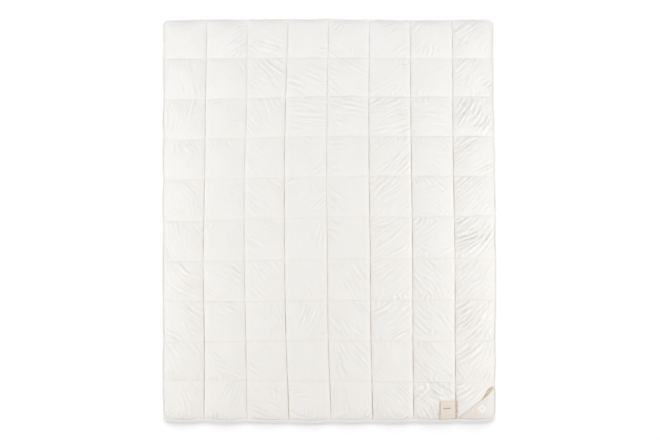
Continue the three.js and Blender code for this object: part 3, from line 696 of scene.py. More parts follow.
def rim_wall(upper, lower):
    """Joins the two cloths. The upper edge has several points for each one of the lower edge."""
    upper_ring, lower_ring = ring(upper), ring(lower)
    rows, columns = [thinned(np.arange(count)) for count in upper.shape]
    shared = ring(upper[np.ix_(rows, columns)])
    place = {number: k for k, number in enumerate(upper_ring.tolist())}
    faces = []
    for k, start in enumerate(shared.tolist()):
        following = (k + 1) % len(shared)
        first, last = place[start], place[int(shared[following])]
        last += len(upper_ring) if last <= first else 0
        between_them = [int(upper_ring[m % len(upper_ring)]) for m in range(last, first - 1, -1)]
        faces.append([int(lower_ring[k]), int(lower_ring[following]), *between_them])
    return faces


# Materials

def new_material(name, base, roughness, sheen=0.0):
    material = bpy.data.materials.new(name)
    material.use_nodes = True
    shader = material.node_tree.nodes["Principled BSDF"]
    shader.inputs["Base Color"].default_value = (*base, 1)
    shader.inputs["Roughness"].default_value = roughness
    shader.inputs["Specular IOR Level"].default_value = 0.25
    shader.inputs["Sheen Weight"].default_value = sheen
    shader.inputs["Sheen Roughness"].default_value = 0.5
    return material


class Nodes:
    """Short names for building a material's nodes"""

    def __init__(self, material):
        self.tree = material.node_tree
        self.shader = self.tree.nodes["Principled BSDF"]

    def add(self, kind, settings=None, **inputs):
        node = self.tree.nodes.new(kind)
        for name, value in (settings or {}).items():
            setattr(node, name, value)
        for name, value in inputs.items():
            self.put(node.inputs[name.replace("_", " ")], value)
        return node

    def put(self, socket, value):
        if isinstance(value, bpy.types.NodeSocket):
            self.tree.links.new(value, socket)
        else:
            socket.default_value = value

    def place(self, name=None):
        """Where a point is: in the object, or in a piece's own measured places"""
        if name is None:
            return self.add("ShaderNodeTexCoord").outputs["Object"]
        return self.add("ShaderNodeAttribute", {"attribute_name": name}).outputs["Vector"]

    def value(self, name):
        return self.add("ShaderNodeAttribute", {"attribute_name": name}).outputs["Fac"]

    def noise(self, place, scale, detail=2.0, roughness=0.5):
        node = self.add("ShaderNodeTexNoise", Vector=place, Scale=scale, Detail=detail, Roughness=roughness)
        return node.outputs["Fac"]

    def maths(self, operation, first, second=None, clamp=False, third=None):
        node = self.add("ShaderNodeMath", {"operation": operation, "use_clamp": clamp})
        self.put(node.inputs[0], first)
        if second is not None:
            self.put(node.inputs[1], second)
        if third is not None:
            self.put(node.inputs[2], third)
        return node.outputs[0]

    def range(self, value, low, high, to_low=0.0, to_high=1.0):
        ends = {"From_Min": low, "From_Max": high, "To_Min": to_low, "To_Max": to_high}
        return self.add("ShaderNodeMapRange", Value=value, **ends).outputs["Result"]

    def within(self, value, middle, half):
        """1 where a value is less than half away from a middle, and 0 elsewhere"""
        away = self.maths("ABSOLUTE", self.maths("SUBTRACT", value, middle))
        return self.maths("LESS_THAN", away, half)

    def mix(self, share, first, second):
        node = self.add("ShaderNodeMix", {"data_type": "RGBA"})
        self.put(node.inputs["Factor"], share)
        for socket, colour in ((node.inputs[6], first), (node.inputs[7], second)):
            self.put(socket, (*colour, 1) if isinstance(colour, tuple) else colour)
        return node.outputs[2]

    def weave(self, place, pitch):
        """Threads over and under each other, pitch metres apart"""
        parts = self.add("ShaderNodeSeparateXYZ", Vector=place)
        turn = 2 * math.pi / pitch
        across = self.maths("SINE", self.maths("MULTIPLY", parts.outputs["X"], turn))
        along = self.maths("SINE", self.maths("MULTIPLY", parts.outputs["Y"], turn))
        return self.maths("MULTIPLY", across, along)

    def bump(self, height, strength, distance, before=None):
        node = self.add("ShaderNodeBump", Height=height, Strength=strength, Distance=distance)
        if before is not None:
            self.put(node.inputs["Normal"], before)
        return node.outputs["Normal"]

    def finish(self, colour=None, normal=None, roughness=None):
        if colour is not None:
            self.put(self.shader.inputs["Base Color"], colour)
        if normal is not None:
            self.put(self.shader.inputs["Normal"], normal)
        if roughness is not None:
            self.put(self.shader.inputs["Roughness"], roughness)


# Fine folds: their length, width and bow, how high they are where nothing is creased, how creased it is where
# they are full, how seams hold them down, and how they differ from square to square
FINE_LENGTH, FINE_WIDTH, FINE_BOW, FINE_EVERYWHERE, FINE_FULL, FINE_HELD = 95.0, 19.0, 0.0012, 0.25, 0.8, 4
FINE_BOW_PER_COLUMN, FINE_BOW_PER_ROW, FINE_PER_COLUMN, FINE_PER_ROW = 2.4, 1.7, 3.7, 5.3
# How the tops of the folds are told from the hollows, how strong the painted highlight on the tops and the
# painted shade in the hollows are, for the creases and the fine folds, and within what limits
CREST_ROUNDS, CREST_HEIGHT, CREST_PAINTED_LIGHT, FINE_PAINTED_LIGHT = 10, 0.8, 0.03, 0.06
CREST_LOWEST, CREST_HIGHEST = -1.6, 2.4
# A painted highlight also lies beside each lengthwise seam, where the cloth rises from it, on the side
# towards the middle: how strong at each seam, how far from it and how wide
SEAM_SIDE_HIGHLIGHTS, SEAM_SIDE_HIGHLIGHT_AT, SEAM_SIDE_HIGHLIGHT_WIDTH = (0.3, 0.3, 0.6, 0.8, 1.3, 1.5, 0.9), 14.0, 6.5
# How wide the painted crevice shade and tan of a lengthwise and a crosswise seam is
SEAM_SHADE_WIDTH, CROSSWISE_SHADE_WIDTH = 2.0, 3.0

SHELL = (0.797, 0.788, 0.776)
SHELL_WARM = (0.785, 0.762, 0.722)
# Seam colours: painted crevice shade, together with the tan of the seams
SEAM_SHADE_TAN = (0.47, 0.335, 0.2)
SEAM_SHADE_FAINT = (0.7, 0.63, 0.52)
TAPE = (0.805, 0.793, 0.77)
NATURAL = (0.72, 0.655, 0.575)
NATURAL_PALE = (0.76, 0.72, 0.66)
NATURAL_WHITE = (0.76, 0.745, 0.715)
# The hem sliver's colour is painted shade, as under the patch's lifted long edge
HEM_SHADE_TAN = (0.47, 0.33, 0.14)
WHITE_LABEL = (0.82, 0.81, 0.79)
CREAM_LABEL = (0.71, 0.645, 0.58)
# The back leaf's colour is painted shade: the same cream tape as the front leaf, darkened
LABEL_BACK_SHADE = (0.5, 0.365, 0.2)
LABEL_GREY = (0.33, 0.32, 0.3)
THREAD = (0.72, 0.66, 0.56)


def shell_material():
    """White cotton: warmer towards the foot, with painted crevice shade and tan in its seams, painted
    highlight on the tops of its folds and painted shade in their hollows, and painted highlight beside its
    lengthwise seams
    """
    material = new_material("shell_cotton_finish", SHELL, 0.88, sheen=0.08)
    nodes = Nodes(material)
    place = nodes.place()
    mottle = nodes.range(nodes.noise(place, 7, 3), 0.35, 0.7, -0.12, 0.22)
    along = nodes.add("ShaderNodeSeparateXYZ", Vector=place).outputs["Y"]
    warmer_at_foot = nodes.range(along, 1.2, -1.2, 0.12, 0.75)
    cloth_colour = nodes.mix(nodes.maths("ADD", mottle, warmer_at_foot, clamp=True), SHELL, SHELL_WARM)
    # The seams are darkened with painted crevice shade, partly the tan of the seams themselves
    faint_shade = nodes.mix(nodes.value("painted_crosswise_shade"), cloth_colour, SEAM_SHADE_FAINT)
    with_seam_shade = nodes.mix(nodes.value("painted_seam_shade"), faint_shade, SEAM_SHADE_TAN)
    streaks = nodes.noise(nodes.place("fold_place"), 1.0, 2.0, 0.5)
    above_middle = nodes.maths("SUBTRACT", streaks, 0.5)
    sharpened = nodes.maths("MULTIPLY", nodes.maths("ABSOLUTE", above_middle), 1.5)
    ridges = nodes.maths("SUBTRACT", streaks, sharpened)
    fold_bump = nodes.bump(nodes.maths("MULTIPLY", ridges, nodes.value("fold_height")), 1.0, 0.006)
    # Painted light as a brightness factor: highlight on the tops of the creases and fine folds and beside the
    # lengthwise seams, shade in their hollows
    fine_fold_paint = nodes.maths("MULTIPLY", above_middle, nodes.value("fold_height"))
    whiter = nodes.maths("MULTIPLY_ADD", nodes.value("painted_fold_light"), CREST_PAINTED_LIGHT, third=1.0)
    whiter = nodes.maths("MULTIPLY_ADD", fine_fold_paint, FINE_PAINTED_LIGHT, third=whiter)
    scaled = nodes.add("ShaderNodeVectorMath", {"operation": "SCALE"}, Vector=with_seam_shade, Scale=whiter)
    crumple = nodes.bump(nodes.noise(place, 48, 3, 0.55), 0.35, 0.004, fold_bump)
    fine = nodes.bump(nodes.weave(place, 0.0009), 0.12, 0.0002, crumple)
    roughness = nodes.range(nodes.noise(place, 60, 2), 0.3, 0.7, 0.82, 0.93)
    nodes.finish(scaled.outputs["Vector"], fine, roughness)
    return material


def woven(nodes, place, base, other, pitch):
    """The uneven colour of a woven cloth, and the bump of its threads"""
    slub = nodes.range(nodes.noise(place, 90, 3), 0.3, 0.75)
    soft = nodes.bump(nodes.noise(place, 120, 2), 0.25, 0.0012)
    return nodes.mix(slub, base, other), nodes.bump(nodes.weave(place, pitch), 0.4, 0.0003, soft)


def cloth_material(name, base, other, pitch, whiter=None):
    material = new_material(name, base, 0.85, 0.05)
    nodes = Nodes(material)
    colour, threads = woven(nodes, nodes.place(), base, other, pitch)
    if whiter is not None:
        colour = nodes.mix(nodes.value("whiter"), colour, whiter)
    nodes.finish(colour, threads)
    return material


def thread_material(name, base):
    material = new_material(name, base, 0.6, 0.1)
    nodes = Nodes(material)
    place = nodes.place()
    tone = nodes.mix(nodes.noise(place, 400, 2), base, tuple(0.85 * part for part in base))
    nodes.finish(tone, nodes.bump(nodes.noise(place, 1500, 2), 0.5, 0.0002))
    return material


shell = shell_material()
tape = cloth_material("binding_cotton_finish", TAPE, SHELL_WARM, 0.0009)
natural = cloth_material("natural_cotton_finish", NATURAL_PALE, NATURAL, 0.0011, whiter=NATURAL_WHITE)
# The hem sliver is coloured with painted shade
hem_painted_shade = cloth_material("painted_shade_hem_finish", HEM_SHADE_TAN, NATURAL, 0.0011)
# The label's back leaf is coloured with painted shade
label_back_shade = cloth_material("painted_shade_label_back_finish", LABEL_BACK_SHADE, CREAM_LABEL, 0.0008)
thread = thread_material("thread_finish", THREAD)
white_thread = thread_material("white_thread_finish", TAPE)


def seam_shades(u, v):
    """How strong the painted crevice shade and tan are in the lengthwise seams, and how faint in the
    crosswise ones
    """
    random = np.random.default_rng(SEED + 2)
    inside_u = (u > 0.5) & (u < COLUMNS - 0.5)
    inside_v = (v > 0.5) & (v < ROWS - 0.5)
    to_lengthwise, to_crosswise = to_seams(u, v)
    broken = np.clip(0.8 + 0.5 * patchy(random, u.shape, 7), 0.1, 1.2)
    to_foot = 1 - np.clip(v / ROWS, 0, 1)
    # The painted seam shade grows darker towards the foot and to the right
    deeper = 0.18 + 0.65 * to_foot + 0.25 * to_foot * np.clip(u / COLUMNS, 0, 1)
    tan_and_shade = np.exp(-(to_lengthwise / SEAM_SHADE_WIDTH) ** 2) * inside_u * deeper * broken
    tan_and_shade = tan_and_shade * of_nearest(SEAM_STRENGTHS, u)
    fading = 0.14 * np.clip(to_foot * 1.6 - 0.5, 0, 1)
    faint_shade = np.exp(-(to_crosswise / CROSSWISE_SHADE_WIDTH) ** 2) * inside_v * fading * broken
    return np.clip(tan_and_shade, 0, 1), np.clip(faint_shade, 0, 1)


def fine_folds(u, v):
    """Places along and across the fine folds, in lengths and widths of one, and how high they are"""
    column = np.clip(np.floor(u), 0, COLUMNS - 1).astype(int)
    row = np.clip(np.floor(v), 0, ROWS - 1).astype(int)
    way = cloth.fold_ways()[row, column]
    off_x, off_y = (u - column - 0.5) * SQUARE_WIDTH, (v - row - 0.5) * SQUARE_LENGTH
    along = off_x * np.cos(way) + off_y * np.sin(way)
    across = off_y * np.cos(way) - off_x * np.sin(way)
    bow = FINE_BOW * np.sin(FINE_BOW_PER_COLUMN * column + FINE_BOW_PER_ROW * row)
    bowed = across + bow * along ** 2
    layer = FINE_PER_COLUMN * column + FINE_PER_ROW * row
    places = np.stack([along / FINE_LENGTH, bowed / FINE_WIDTH, layer], -1)
    height = np.zeros(u.shape)
    height[1:-1, 1:-1] = FINE_EVERYWHERE + (1 - FINE_EVERYWHERE) * np.clip(creased / FINE_FULL, 0, 1)
    to_seam = np.minimum(*to_seams(u, v))
    return places, height * (1 - np.exp(-to_seam / FINE_HELD))


def seam_side_highlight_strength():
    """How much painted highlight lies beside the lengthwise seams, where the cloth rises from them"""
    nearest = np.clip(np.round(cloth.u), 1, COLUMNS - 1)
    off = (cloth.u - nearest) * SQUARE_WIDTH * np.where(nearest < COLUMNS / 2, 1, -1)
    strength = of_nearest(SEAM_SIDE_HIGHLIGHTS, cloth.u) * (cloth.free > 0)
    return strength * np.exp(-((off - SEAM_SIDE_HIGHLIGHT_AT) / SEAM_SIDE_HIGHLIGHT_WIDTH) ** 2)


upper_u, upper_v, upper = upper_cloth()
under = under_cloth()
upper_index = np.arange(upper_u.size).reshape(upper_u.shape)
under_index = upper_u.size + np.arange(under[..., 0].size).reshape(under.shape[:2])
duvet_points = np.concatenate([upper.reshape(-1, 3), under.reshape(-1, 3)])
upper_faces = grid_faces(upper_index)
duvet_faces = upper_faces + grid_faces(under_index, facing_up=False) + rim_wall(upper_index, under_index)
duvet = make_piece("duvet_filled", duvet_points, duvet_faces, [shell], "shell_cotton")
lengthwise_seam_shade, crosswise_seam_shade = seam_shades(upper_u, upper_v)
fold_places, fold_heights = fine_folds(upper_u, upper_v)
# The painted light of the folds: highlight on their tops, shade in their hollows, and highlight beside the
# lengthwise seams
fold_light_paint = np.zeros(upper_u.shape)
fold_tops = (folds - average(folds.copy(), CREST_ROUNDS)) / CREST_HEIGHT
fold_light_paint[1:-1, 1:-1] = np.clip(fold_tops, CREST_LOWEST, CREST_HIGHEST) + seam_side_highlight_strength()
below = np.zeros(under_index.size)
for name, values, value_below in (
    ("painted_fold_light", fold_light_paint, 0),
    ("fold_height", fold_heights, FINE_EVERYWHERE),
    ("painted_seam_shade", lengthwise_seam_shade, 0),
    ("painted_crosswise_shade", crosswise_seam_shade, 0),
):
    add_values(duvet, name, np.concatenate([values.ravel(), below + value_below]))
below_places = under.reshape(-1, 3) / [FINE_LENGTH, FINE_WIDTH, 1]
add_places(duvet, "fold_place", np.concatenate([fold_places.reshape(-1, 3), below_places]) / MM)
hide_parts("duvet")


# Stitches: short threads along lines

def stitch_rows(name, lines, pitch, length, thickness, material, slot):
    """Each stitch is a thread of six points. Lines are lists of points in mm."""
    half, radius = length / 2, thickness / 2
    points, faces = [], []
    for line in lines:
        line = np.asarray(line, float)
        steps = np.linalg.norm(np.diff(line, axis=0), axis=1)
        reached = np.concatenate([[0], np.cumsum(steps)])
        places = np.arange(pitch / 2, reached[-1] - pitch / 2, pitch)
        behind, middle, ahead = [
            np.stack([np.interp(places + off, reached, line[:, k]) for k in range(3)], 1)
            for off in (-half, 0, half)
        ]
        along = ahead - behind
        side = np.stack([-along[:, 1], along[:, 0], np.zeros(len(along))], 1)
        side *= radius / np.maximum(np.linalg.norm(side, axis=1), 1e-6)[:, None]
        up = np.array([0, 0, radius])
        first = sum(len(part) for part in points) + 6 * np.arange(len(places))[:, None]
        corners = [behind, middle + side, middle + up, middle - side, middle - up, ahead]
        points.append(np.stack(corners, 1).reshape(-1, 3))
        for a, b in ((1, 2), (2, 3), (3, 4), (4, 1)):
            faces += (first + [0, b, a]).tolist() + (first + [5, a, b]).tolist()
    return make_piece(name, np.concatenate(points), faces, [material], slot)


# How far apart, how long and how thick stitches are
QUILTING, BINDING, FINE_SEWING = (3.6, 3.0, 0.7), (3.4, 2.6, 0.6), (3.2, 2.4, 0.5)
QUILTING_OFF = 0.25


def sewn_lines(index, divisions, off):
    """The sewn lines on one face of the duvet, from its grid of point numbers, and so far above it"""
    columns = range(1 + divisions, index.shape[1] - 2, divisions)
    rows = range(1 + divisions, index.shape[0] - 2, divisions)
    lines = [index[1:-1, column] for column in columns] + [index[row, 1:-1] for row in rows]
    return [duvet_points[line] + [0, 0, off] for line in lines]


above_lines = sewn_lines(upper_index, DIVISIONS, QUILTING_OFF)
below_lines = sewn_lines(under_index, DIVISIONS // UNDERSIDE_EVERY, -QUILTING_OFF)
stitch_rows("quilting_stitches", above_lines, *QUILTING, thread, "shell_cotton")
stitch_rows("quilting_stitches_below", below_lines, *QUILTING, thread, "shell_cotton")


# The binding: a tape folded over the rim

# The tape's gap to the rim, its cloth, how far in its lips reach, from where they thin, and its stitches
TAPE_GAP, TAPE_CLOTH, TAPE_LIP, TAPE_THINS, TAPE_STITCH = 0.4, 0.8, 8.6, 1.5, 6.8
TAPE_FOLD_ANGLES = (60, 35, 12)
# How far its lips wander and lift, and how far from the ends of the round that fades
TAPE_WANDER, TAPE_LIFT, TAPE_FADE = 0.4, 0.5, 12


def rim_path():
    """The rim's outer edge: points, the way inward and the half height of the rim"""
    order = ring(upper_index)
    edge = duvet_points[order, :2]
    ahead, behind = np.roll(edge, -1, 0), np.roll(edge, 1, 0)
    tangent = ahead - behind
    tangent /= np.linalg.norm(tangent, axis=1)[:, None]
    inward = np.stack([-tangent[:, 1], tangent[:, 0]], 1)
    heights = seam_height(upper_u.ravel()[order], upper_v.ravel()[order])
    return edge, inward, heights


def tape_section():
    """The tape's section: inward from the rim's edge and up from its middle, once round"""
    inside = SEAM_THICKNESS / 2 + TAPE_GAP
    outside = inside + TAPE_CLOTH
    reach = TAPE_GAP + TAPE_CLOTH
    outer = [(TAPE_LIP, outside - 0.2), (TAPE_LIP - TAPE_THINS, outside), (2, outside - 0.05)]
    for angle in map(math.radians, TAPE_FOLD_ANGLES):
        outer.append((0.15 - reach * math.cos(angle), 0.97 * outside * math.sin(angle)))
    inner = [(TAPE_LIP, inside), (TAPE_GAP, inside), (-TAPE_GAP, 2.2)]
    lower_outer = [(across, -height) for across, height in reversed(outer)]
    lower_inner = [(across, -height) for across, height in inner]
    return np.array(outer + lower_outer + lower_inner + inner[::-1])


def binding_piece():
    """The tape with its stitches, and how long it is"""
    edge, inward, heights = rim_path()
    section = tape_section()
    random = np.random.default_rng(SEED + 3)
    count = len(edge)
    pucker = patchy(random, (4, count), 2.5)[1] * 0.25 + patchy(random, (4, count), 9)[2] * 0.2
    pucker *= np.minimum(1, np.minimum(np.arange(count), np.arange(count)[::-1]) / TAPE_FADE)
    points = np.empty((count, len(section), 3))
    for k, (reach, height) in enumerate(section):
        at_lip = max(0, (reach - 3) / (TAPE_LIP - 3))
        points[:, k, :2] = edge + inward * (reach + TAPE_WANDER * pucker * at_lip)[:, None]
        outer = abs(height) > SEAM_THICKNESS / 2 + TAPE_GAP + 0.1
        lift = outer * math.copysign(1, height) * np.abs(pucker) * TAPE_LIFT * at_lip
        points[:, k, 2] = heights + height + lift
    index = np.arange(count * len(section)).reshape(count, len(section))
    closed = np.vstack([index, index[:1]])
    closed = np.hstack([closed, closed[:, :1]])
    piece = make_piece("binding_tape", points.reshape(-1, 3), grid_faces(closed), [tape], "binding_cotton")
    lines = []
    on_tape = SEAM_THICKNESS / 2 + TAPE_GAP + TAPE_CLOTH + 0.1
    for height in (on_tape, -on_tape):
        line = np.column_stack([edge + inward * TAPE_STITCH, heights + height])
        lines.append(np.vstack([line, line[:1]]))
    stitch_rows("binding_stitches", lines, *BINDING, white_thread, "binding_cotton")
    around = float(np.linalg.norm(np.roll(edge, -1, 0) - edge, axis=1).sum())
    return piece, around


binding, around = binding_piece()
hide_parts("binding")


# What the labels and the patch lie on

class Ground:
    """Heights on a grid over a part of the duvet, and of cloth that is laid on it"""

    STEP = 2.5
    AROUND = 30

    def __init__(self, left, right, foot, head):
        self.xs = np.arange(left, right, self.STEP)
        self.ys = np.arange(foot, head, self.STEP)
        x, y = duvet_points[:, 0], duvet_points[:, 1]
        near = (left - self.AROUND < x) & (x < right + self.AROUND)
        near &= (foot - self.AROUND < y) & (y < head + self.AROUND)
        tree = BVHTree.FromPolygons(duvet_points.tolist(), [face for face in upper_faces if near[face[0]]])
        self.z = np.empty((len(self.ys), len(self.xs)))
        for i, y in enumerate(self.ys):
            for j, x in enumerate(self.xs):
                hit = tree.ray_cast(Vector((x, y, 200)), Vector((0, 0, -1)))[0]
                self.z[i, j] = hit.z if hit else RIM_HEIGHT + SEAM_THICKNESS / 2

    def laid(self, gap, rounds):
        """Cloth that bridges the hollows: it sinks on to the ground but bends little"""
        ground = self.z + gap
        height = ground.copy()
        for _ in range(rounds):
            height = np.maximum(ground, average(height, 1))
        return height

    def at(self, heights, x, y):
        """The height at any place, from a grid of heights"""
        column = np.clip((x - self.xs[0]) / self.STEP, 0, len(self.xs) - 1.001)
        row = np.clip((y - self.ys[0]) / self.STEP, 0, len(self.ys) - 1.001)
        j, i = column.astype(int), row.astype(int)
        fx, fy = column - j, row - i
        low = heights[i, j] * (1 - fx) + heights[i, j + 1] * fx
        high = heights[i + 1, j] * (1 - fx) + heights[i + 1, j + 1] * fx
        return low * (1 - fy) + high * fy


# The corner with the patch and the labels
ground = Ground(600, 1004, -1207, -940)


def closed_sheet(top, bottom, faces, edge):
    """The points and faces of a closed sheet, from its two sides, its upper faces and its edge in order"""
    count = len(top)
    below_faces = [[count + k for k in reversed(face)] for face in faces]
    walls = [[a, count + a, count + b, b] for a, b in zip(edge, edge[1:] + edge[:1])]
    return np.vstack([top, bottom]), list(faces) + below_faces + walls


def outward(piece):
    """Turns a piece's faces outward"""
    work = bmesh.new()
    work.from_mesh(piece.data)
    bmesh.ops.recalc_face_normals(work, faces=work.faces)
    work.to_mesh(piece.data)
    work.free()


# Patch and label reach a little way on to the rim: how far, and over what share of a square they spread there
ON_RIM, ON_RIM_OVER = 3.4, 0.2


def on_to_rim(from_seam):
    """How far cloth moves outward, from its distance to the rim in squares"""
    return ON_RIM * np.clip(1 - from_seam / ON_RIM_OVER, 0, 1)


# The corner patch, a triangle of natural cotton with its long edge turned under

# Its reach along the foot and the side and its clearance are in squares, and the rest is in mm.
PATCH_FOOT, PATCH_SIDE, PATCH_CLEAR, PATCH_SAG = 0.95, 0.88, 0.006, 11
PATCH_GAP, PATCH_ROUNDS, PATCH_CLOTH, PATCH_PARTS = 1.2, 14, 1.0, 76
PATCH_HEIGHT, PATCH_WAVES, PATCH_WAVES_CELL = 143.0, 0.35, 9
HEM_WIDTH, HEM_RISE, HEM_EDGE_ROLL, HEM_PUCKERS, HEM_PUCKER_TURNS = 13.0, 0.9, 0.7, 0.25, 95
# The sliver of the turned hem that shows beyond the long edge: from where and over how much of it, how wide,
# up to which x, how far it reaches under the patch, and how it lies
SLIVER_FROM, SLIVER_REACH, SLIVER_WIDTH, SLIVER_END, SLIVER_UNDER = 0.58, 0.45, 22, 976, 7
SLIVER_GAP, SLIVER_ROUNDS, SLIVER_CLOTH, SLIVER_PARTS = 0.3, 6, 0.75, (60, 9)
# From here towards +X the patch is whiter, and over this much it becomes so
WHITER_FROM, WHITER_OVER = 880, 70
patch_lie = ground.laid(PATCH_GAP, PATCH_ROUNDS)


def long_edge(t, sliver=0.0):
    """How far the long edge lies from the straight line between its ends"""
    share = np.clip((t - SLIVER_FROM) / SLIVER_REACH, 0, 1)
    return sliver * np.sin(math.pi * share ** 1.5) - PATCH_SAG * np.sin(math.pi * np.clip(t, 0, 1) ** 3)


def patch_outward():
    """The way out from the patch's long edge, seen from above"""
    start = np.array(plan(COLUMNS - PATCH_FOOT, PATCH_CLEAR))
    end = np.array(plan(COLUMNS - PATCH_CLEAR, PATCH_SIDE))
    along = end - start
    return np.array([-along[1], along[0]]) / np.linalg.norm(along)


PATCH_OUT = patch_outward()


def by_long_edge(t, off):
    """Places beside the long edge: how far along it, as a share, and how far out from it"""
    u = COLUMNS - PATCH_FOOT + (PATCH_FOOT - PATCH_CLEAR) * np.clip(t, 0, 1)
    x, y = plan(u, PATCH_CLEAR + (PATCH_SIDE - PATCH_CLEAR) * t)
    return x + PATCH_OUT[0] * off, y + PATCH_OUT[1] * off


def patch_grid():
    """The numbers of the patch's points, by steps to its corner and along it, and their shares of its ends"""
    numbers, weights = {}, []
    for to_corner in range(PATCH_PARTS + 1):
        for to_end in range(PATCH_PARTS + 1 - to_corner):
            numbers[to_corner, to_end] = len(weights)
            weights.append((PATCH_PARTS - to_corner - to_end, to_end, to_corner))
    return numbers, np.array(weights) / PATCH_PARTS


def patch_faces(numbers):
    """The patch's upper faces and its edge in order"""
    faces = []
    for to_corner in range(PATCH_PARTS):
        for to_end in range(PATCH_PARTS - to_corner):
            a, b = numbers[to_corner, to_end], numbers[to_corner, to_end + 1]
            c = numbers[to_corner + 1, to_end]
            faces.append([a, c, b])
            if to_end + to_corner + 1 < PATCH_PARTS:
                faces.append([b, c, numbers[to_corner + 1, to_end + 1]])
    steps = range(PATCH_PARTS)
    edge = [numbers[k, 0] for k in steps]
    edge += [numbers[PATCH_PARTS - k, k] for k in steps]
    edge += [numbers[0, PATCH_PARTS - k] for k in steps]
    return faces, edge


def patch_surface():
    """The patch as a closed sheet, thicker along its hem"""
    numbers, weights = patch_grid()
    ends_u = np.array([COLUMNS - PATCH_FOOT, COLUMNS - PATCH_CLEAR, COLUMNS - PATCH_CLEAR])
    ends_v = np.array([PATCH_CLEAR, PATCH_SIDE, PATCH_CLEAR])
    u, v = weights @ ends_u, weights @ ends_v
    x, y = plan(u, v)
    x, y = x + on_to_rim(COLUMNS - u), y - on_to_rim(v)
    at_edge = weights[:, 0] + weights[:, 1]
    t = weights[:, 1] / np.maximum(at_edge, 1e-9)
    moved = long_edge(t) * at_edge ** 2
    x, y = x + PATCH_OUT[0] * moved, y + PATCH_OUT[1] * moved
    from_edge = weights[:, 2] * PATCH_HEIGHT
    soft = patchy(np.random.default_rng(SEED + 4), (200, 200), PATCH_WAVES_CELL)
    drawn = soft[np.clip((y + 1200) / 2, 0, 199).astype(int), np.clip((x - 740) / 2, 0, 199).astype(int)]
    hem = HEM_RISE / (1 + np.exp((from_edge - HEM_WIDTH) / 0.9))
    roll = -HEM_EDGE_ROLL * np.exp(-from_edge / 1.2)
    held = np.exp(-((from_edge - HEM_WIDTH + 2) / 5) ** 2)
    puckers = HEM_PUCKERS * np.sin(t * HEM_PUCKER_TURNS + 3 * drawn) * held
    z = ground.at(patch_lie, x, y) + PATCH_WAVES * drawn * np.clip(from_edge / 15, 0, 1) ** 0.5
    bottom = np.column_stack([x, y, z])
    top = np.column_stack([x, y, z + PATCH_CLOTH + hem + roll + puckers])
    return closed_sheet(top, bottom, *patch_faces(numbers))


def patch_hem():
    """The turned hem where it shows beyond the long edge, as a closed sheet"""
    ts = np.linspace(SLIVER_FROM, SLIVER_FROM + SLIVER_REACH - 0.01, SLIVER_PARTS[0])
    t, across = np.meshgrid(ts, np.linspace(0, 1, SLIVER_PARTS[1]))
    inner = long_edge(t) - SLIVER_UNDER
    outer = np.maximum(long_edge(t, SLIVER_WIDTH), inner + 1)
    x, y = by_long_edge(t, inner + (outer - inner) * across)
    x = np.minimum(x, SLIVER_END)
    z = ground.at(ground.laid(SLIVER_GAP, SLIVER_ROUNDS), x, y)
    bottom = np.column_stack([x.ravel(), y.ravel(), z.ravel()])
    index = np.arange(t.size).reshape(t.shape)
    return closed_sheet(bottom + [0, 0, SLIVER_CLOTH], bottom, grid_faces(index), ring(index).tolist())


def patch_piece():
    (points, faces), (hem_points, hem_faces) = patch_surface(), patch_hem()
    kinds = [0] * len(faces) + [1] * len(hem_faces)
    faces = faces + [[len(points) + k for k in face] for face in hem_faces]
    points = np.vstack([points, hem_points])
    # The hem sliver gets the painted shade
    finishes = [natural, hem_painted_shade]
    piece = make_piece("corner_patch_cloth", points, faces, finishes, "natural_cotton", face_materials=kinds)
    outward(piece)
    add_values(piece, "whiter", np.clip((points[:, 0] - WHITER_FROM) / WHITER_OVER, 0, 1))
    return piece


patch = patch_piece()
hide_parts("corner_patch")


def hem_line():
    """The stitches along the patch's hem"""
    t = np.linspace(0.04, 0.97, 90)
    x, y = by_long_edge(t, long_edge(t) - (HEM_WIDTH - 2.5))
    return np.column_stack([x, y, ground.at(patch_lie, x, y) + PATCH_CLOTH + 0.85])


# The square label on the patch, turned by half a right angle

LABEL_MIDDLE, LABEL_SIDE, LABEL_CLOTH, LABEL_PARTS = (909.0, -1121.5), 43.0, 0.7, 22
# Its gap to the patch, how much its sides are drawn in, how it waves, and how its edge rolls down
LABEL_GAP, LABEL_DRAWN_IN, LABEL_WAVES, LABEL_ROLL = 0.45, 0.012, 0.22, 0.3
LABEL_STITCH_INSET, LABEL_STITCH_STEPS = 2.2, 16
# The plain mark on it, two bars, in metres: their middles, and half their length and width
MARK_MIDDLES, MARK_HALF_LENGTH, MARK_HALF_WIDTH = (0.0035, -0.0035), 0.0085, 0.0011


def label_place(a, b):
    """Where a point of the square label lies, from its distances to the label's middle along its sides"""
    turn = math.sqrt(0.5)
    return LABEL_MIDDLE[0] + (a - b) * turn, LABEL_MIDDLE[1] + (a + b) * turn


def label_height(x, y):
    return ground.at(patch_lie, x, y) + PATCH_CLOTH + LABEL_GAP


def patch_label_piece():
    half = LABEL_SIDE / 2
    along = np.linspace(-1, 1, LABEL_PARTS + 1) * half
    a, b = np.meshgrid(along, along)
    a = a * (1 - LABEL_DRAWN_IN * np.cos(np.pi * b / LABEL_SIDE) * np.abs(a) / half)
    x, y = label_place(a, b)
    z = label_height(x, y) + LABEL_WAVES * patchy(np.random.default_rng(SEED + 5), x.shape, 5)
    roll = LABEL_ROLL * np.exp(np.maximum(np.abs(a), np.abs(b)) - half)
    bottom = np.stack([x, y, z], -1).reshape(-1, 3)
    top = np.stack([x, y, z + LABEL_CLOTH - roll], -1).reshape(-1, 3)
    index = np.arange(a.size).reshape(a.shape)
    points, faces = closed_sheet(top, bottom, grid_faces(index), ring(index).tolist())
    piece = make_piece("patch_label_weave", points, faces, [label_white], "white_weave")
    outward(piece)
    add_places(piece, "label_place", np.tile(np.stack([a.ravel(), b.ravel(), np.zeros(a.size)], 1), (2, 1)))
    return piece


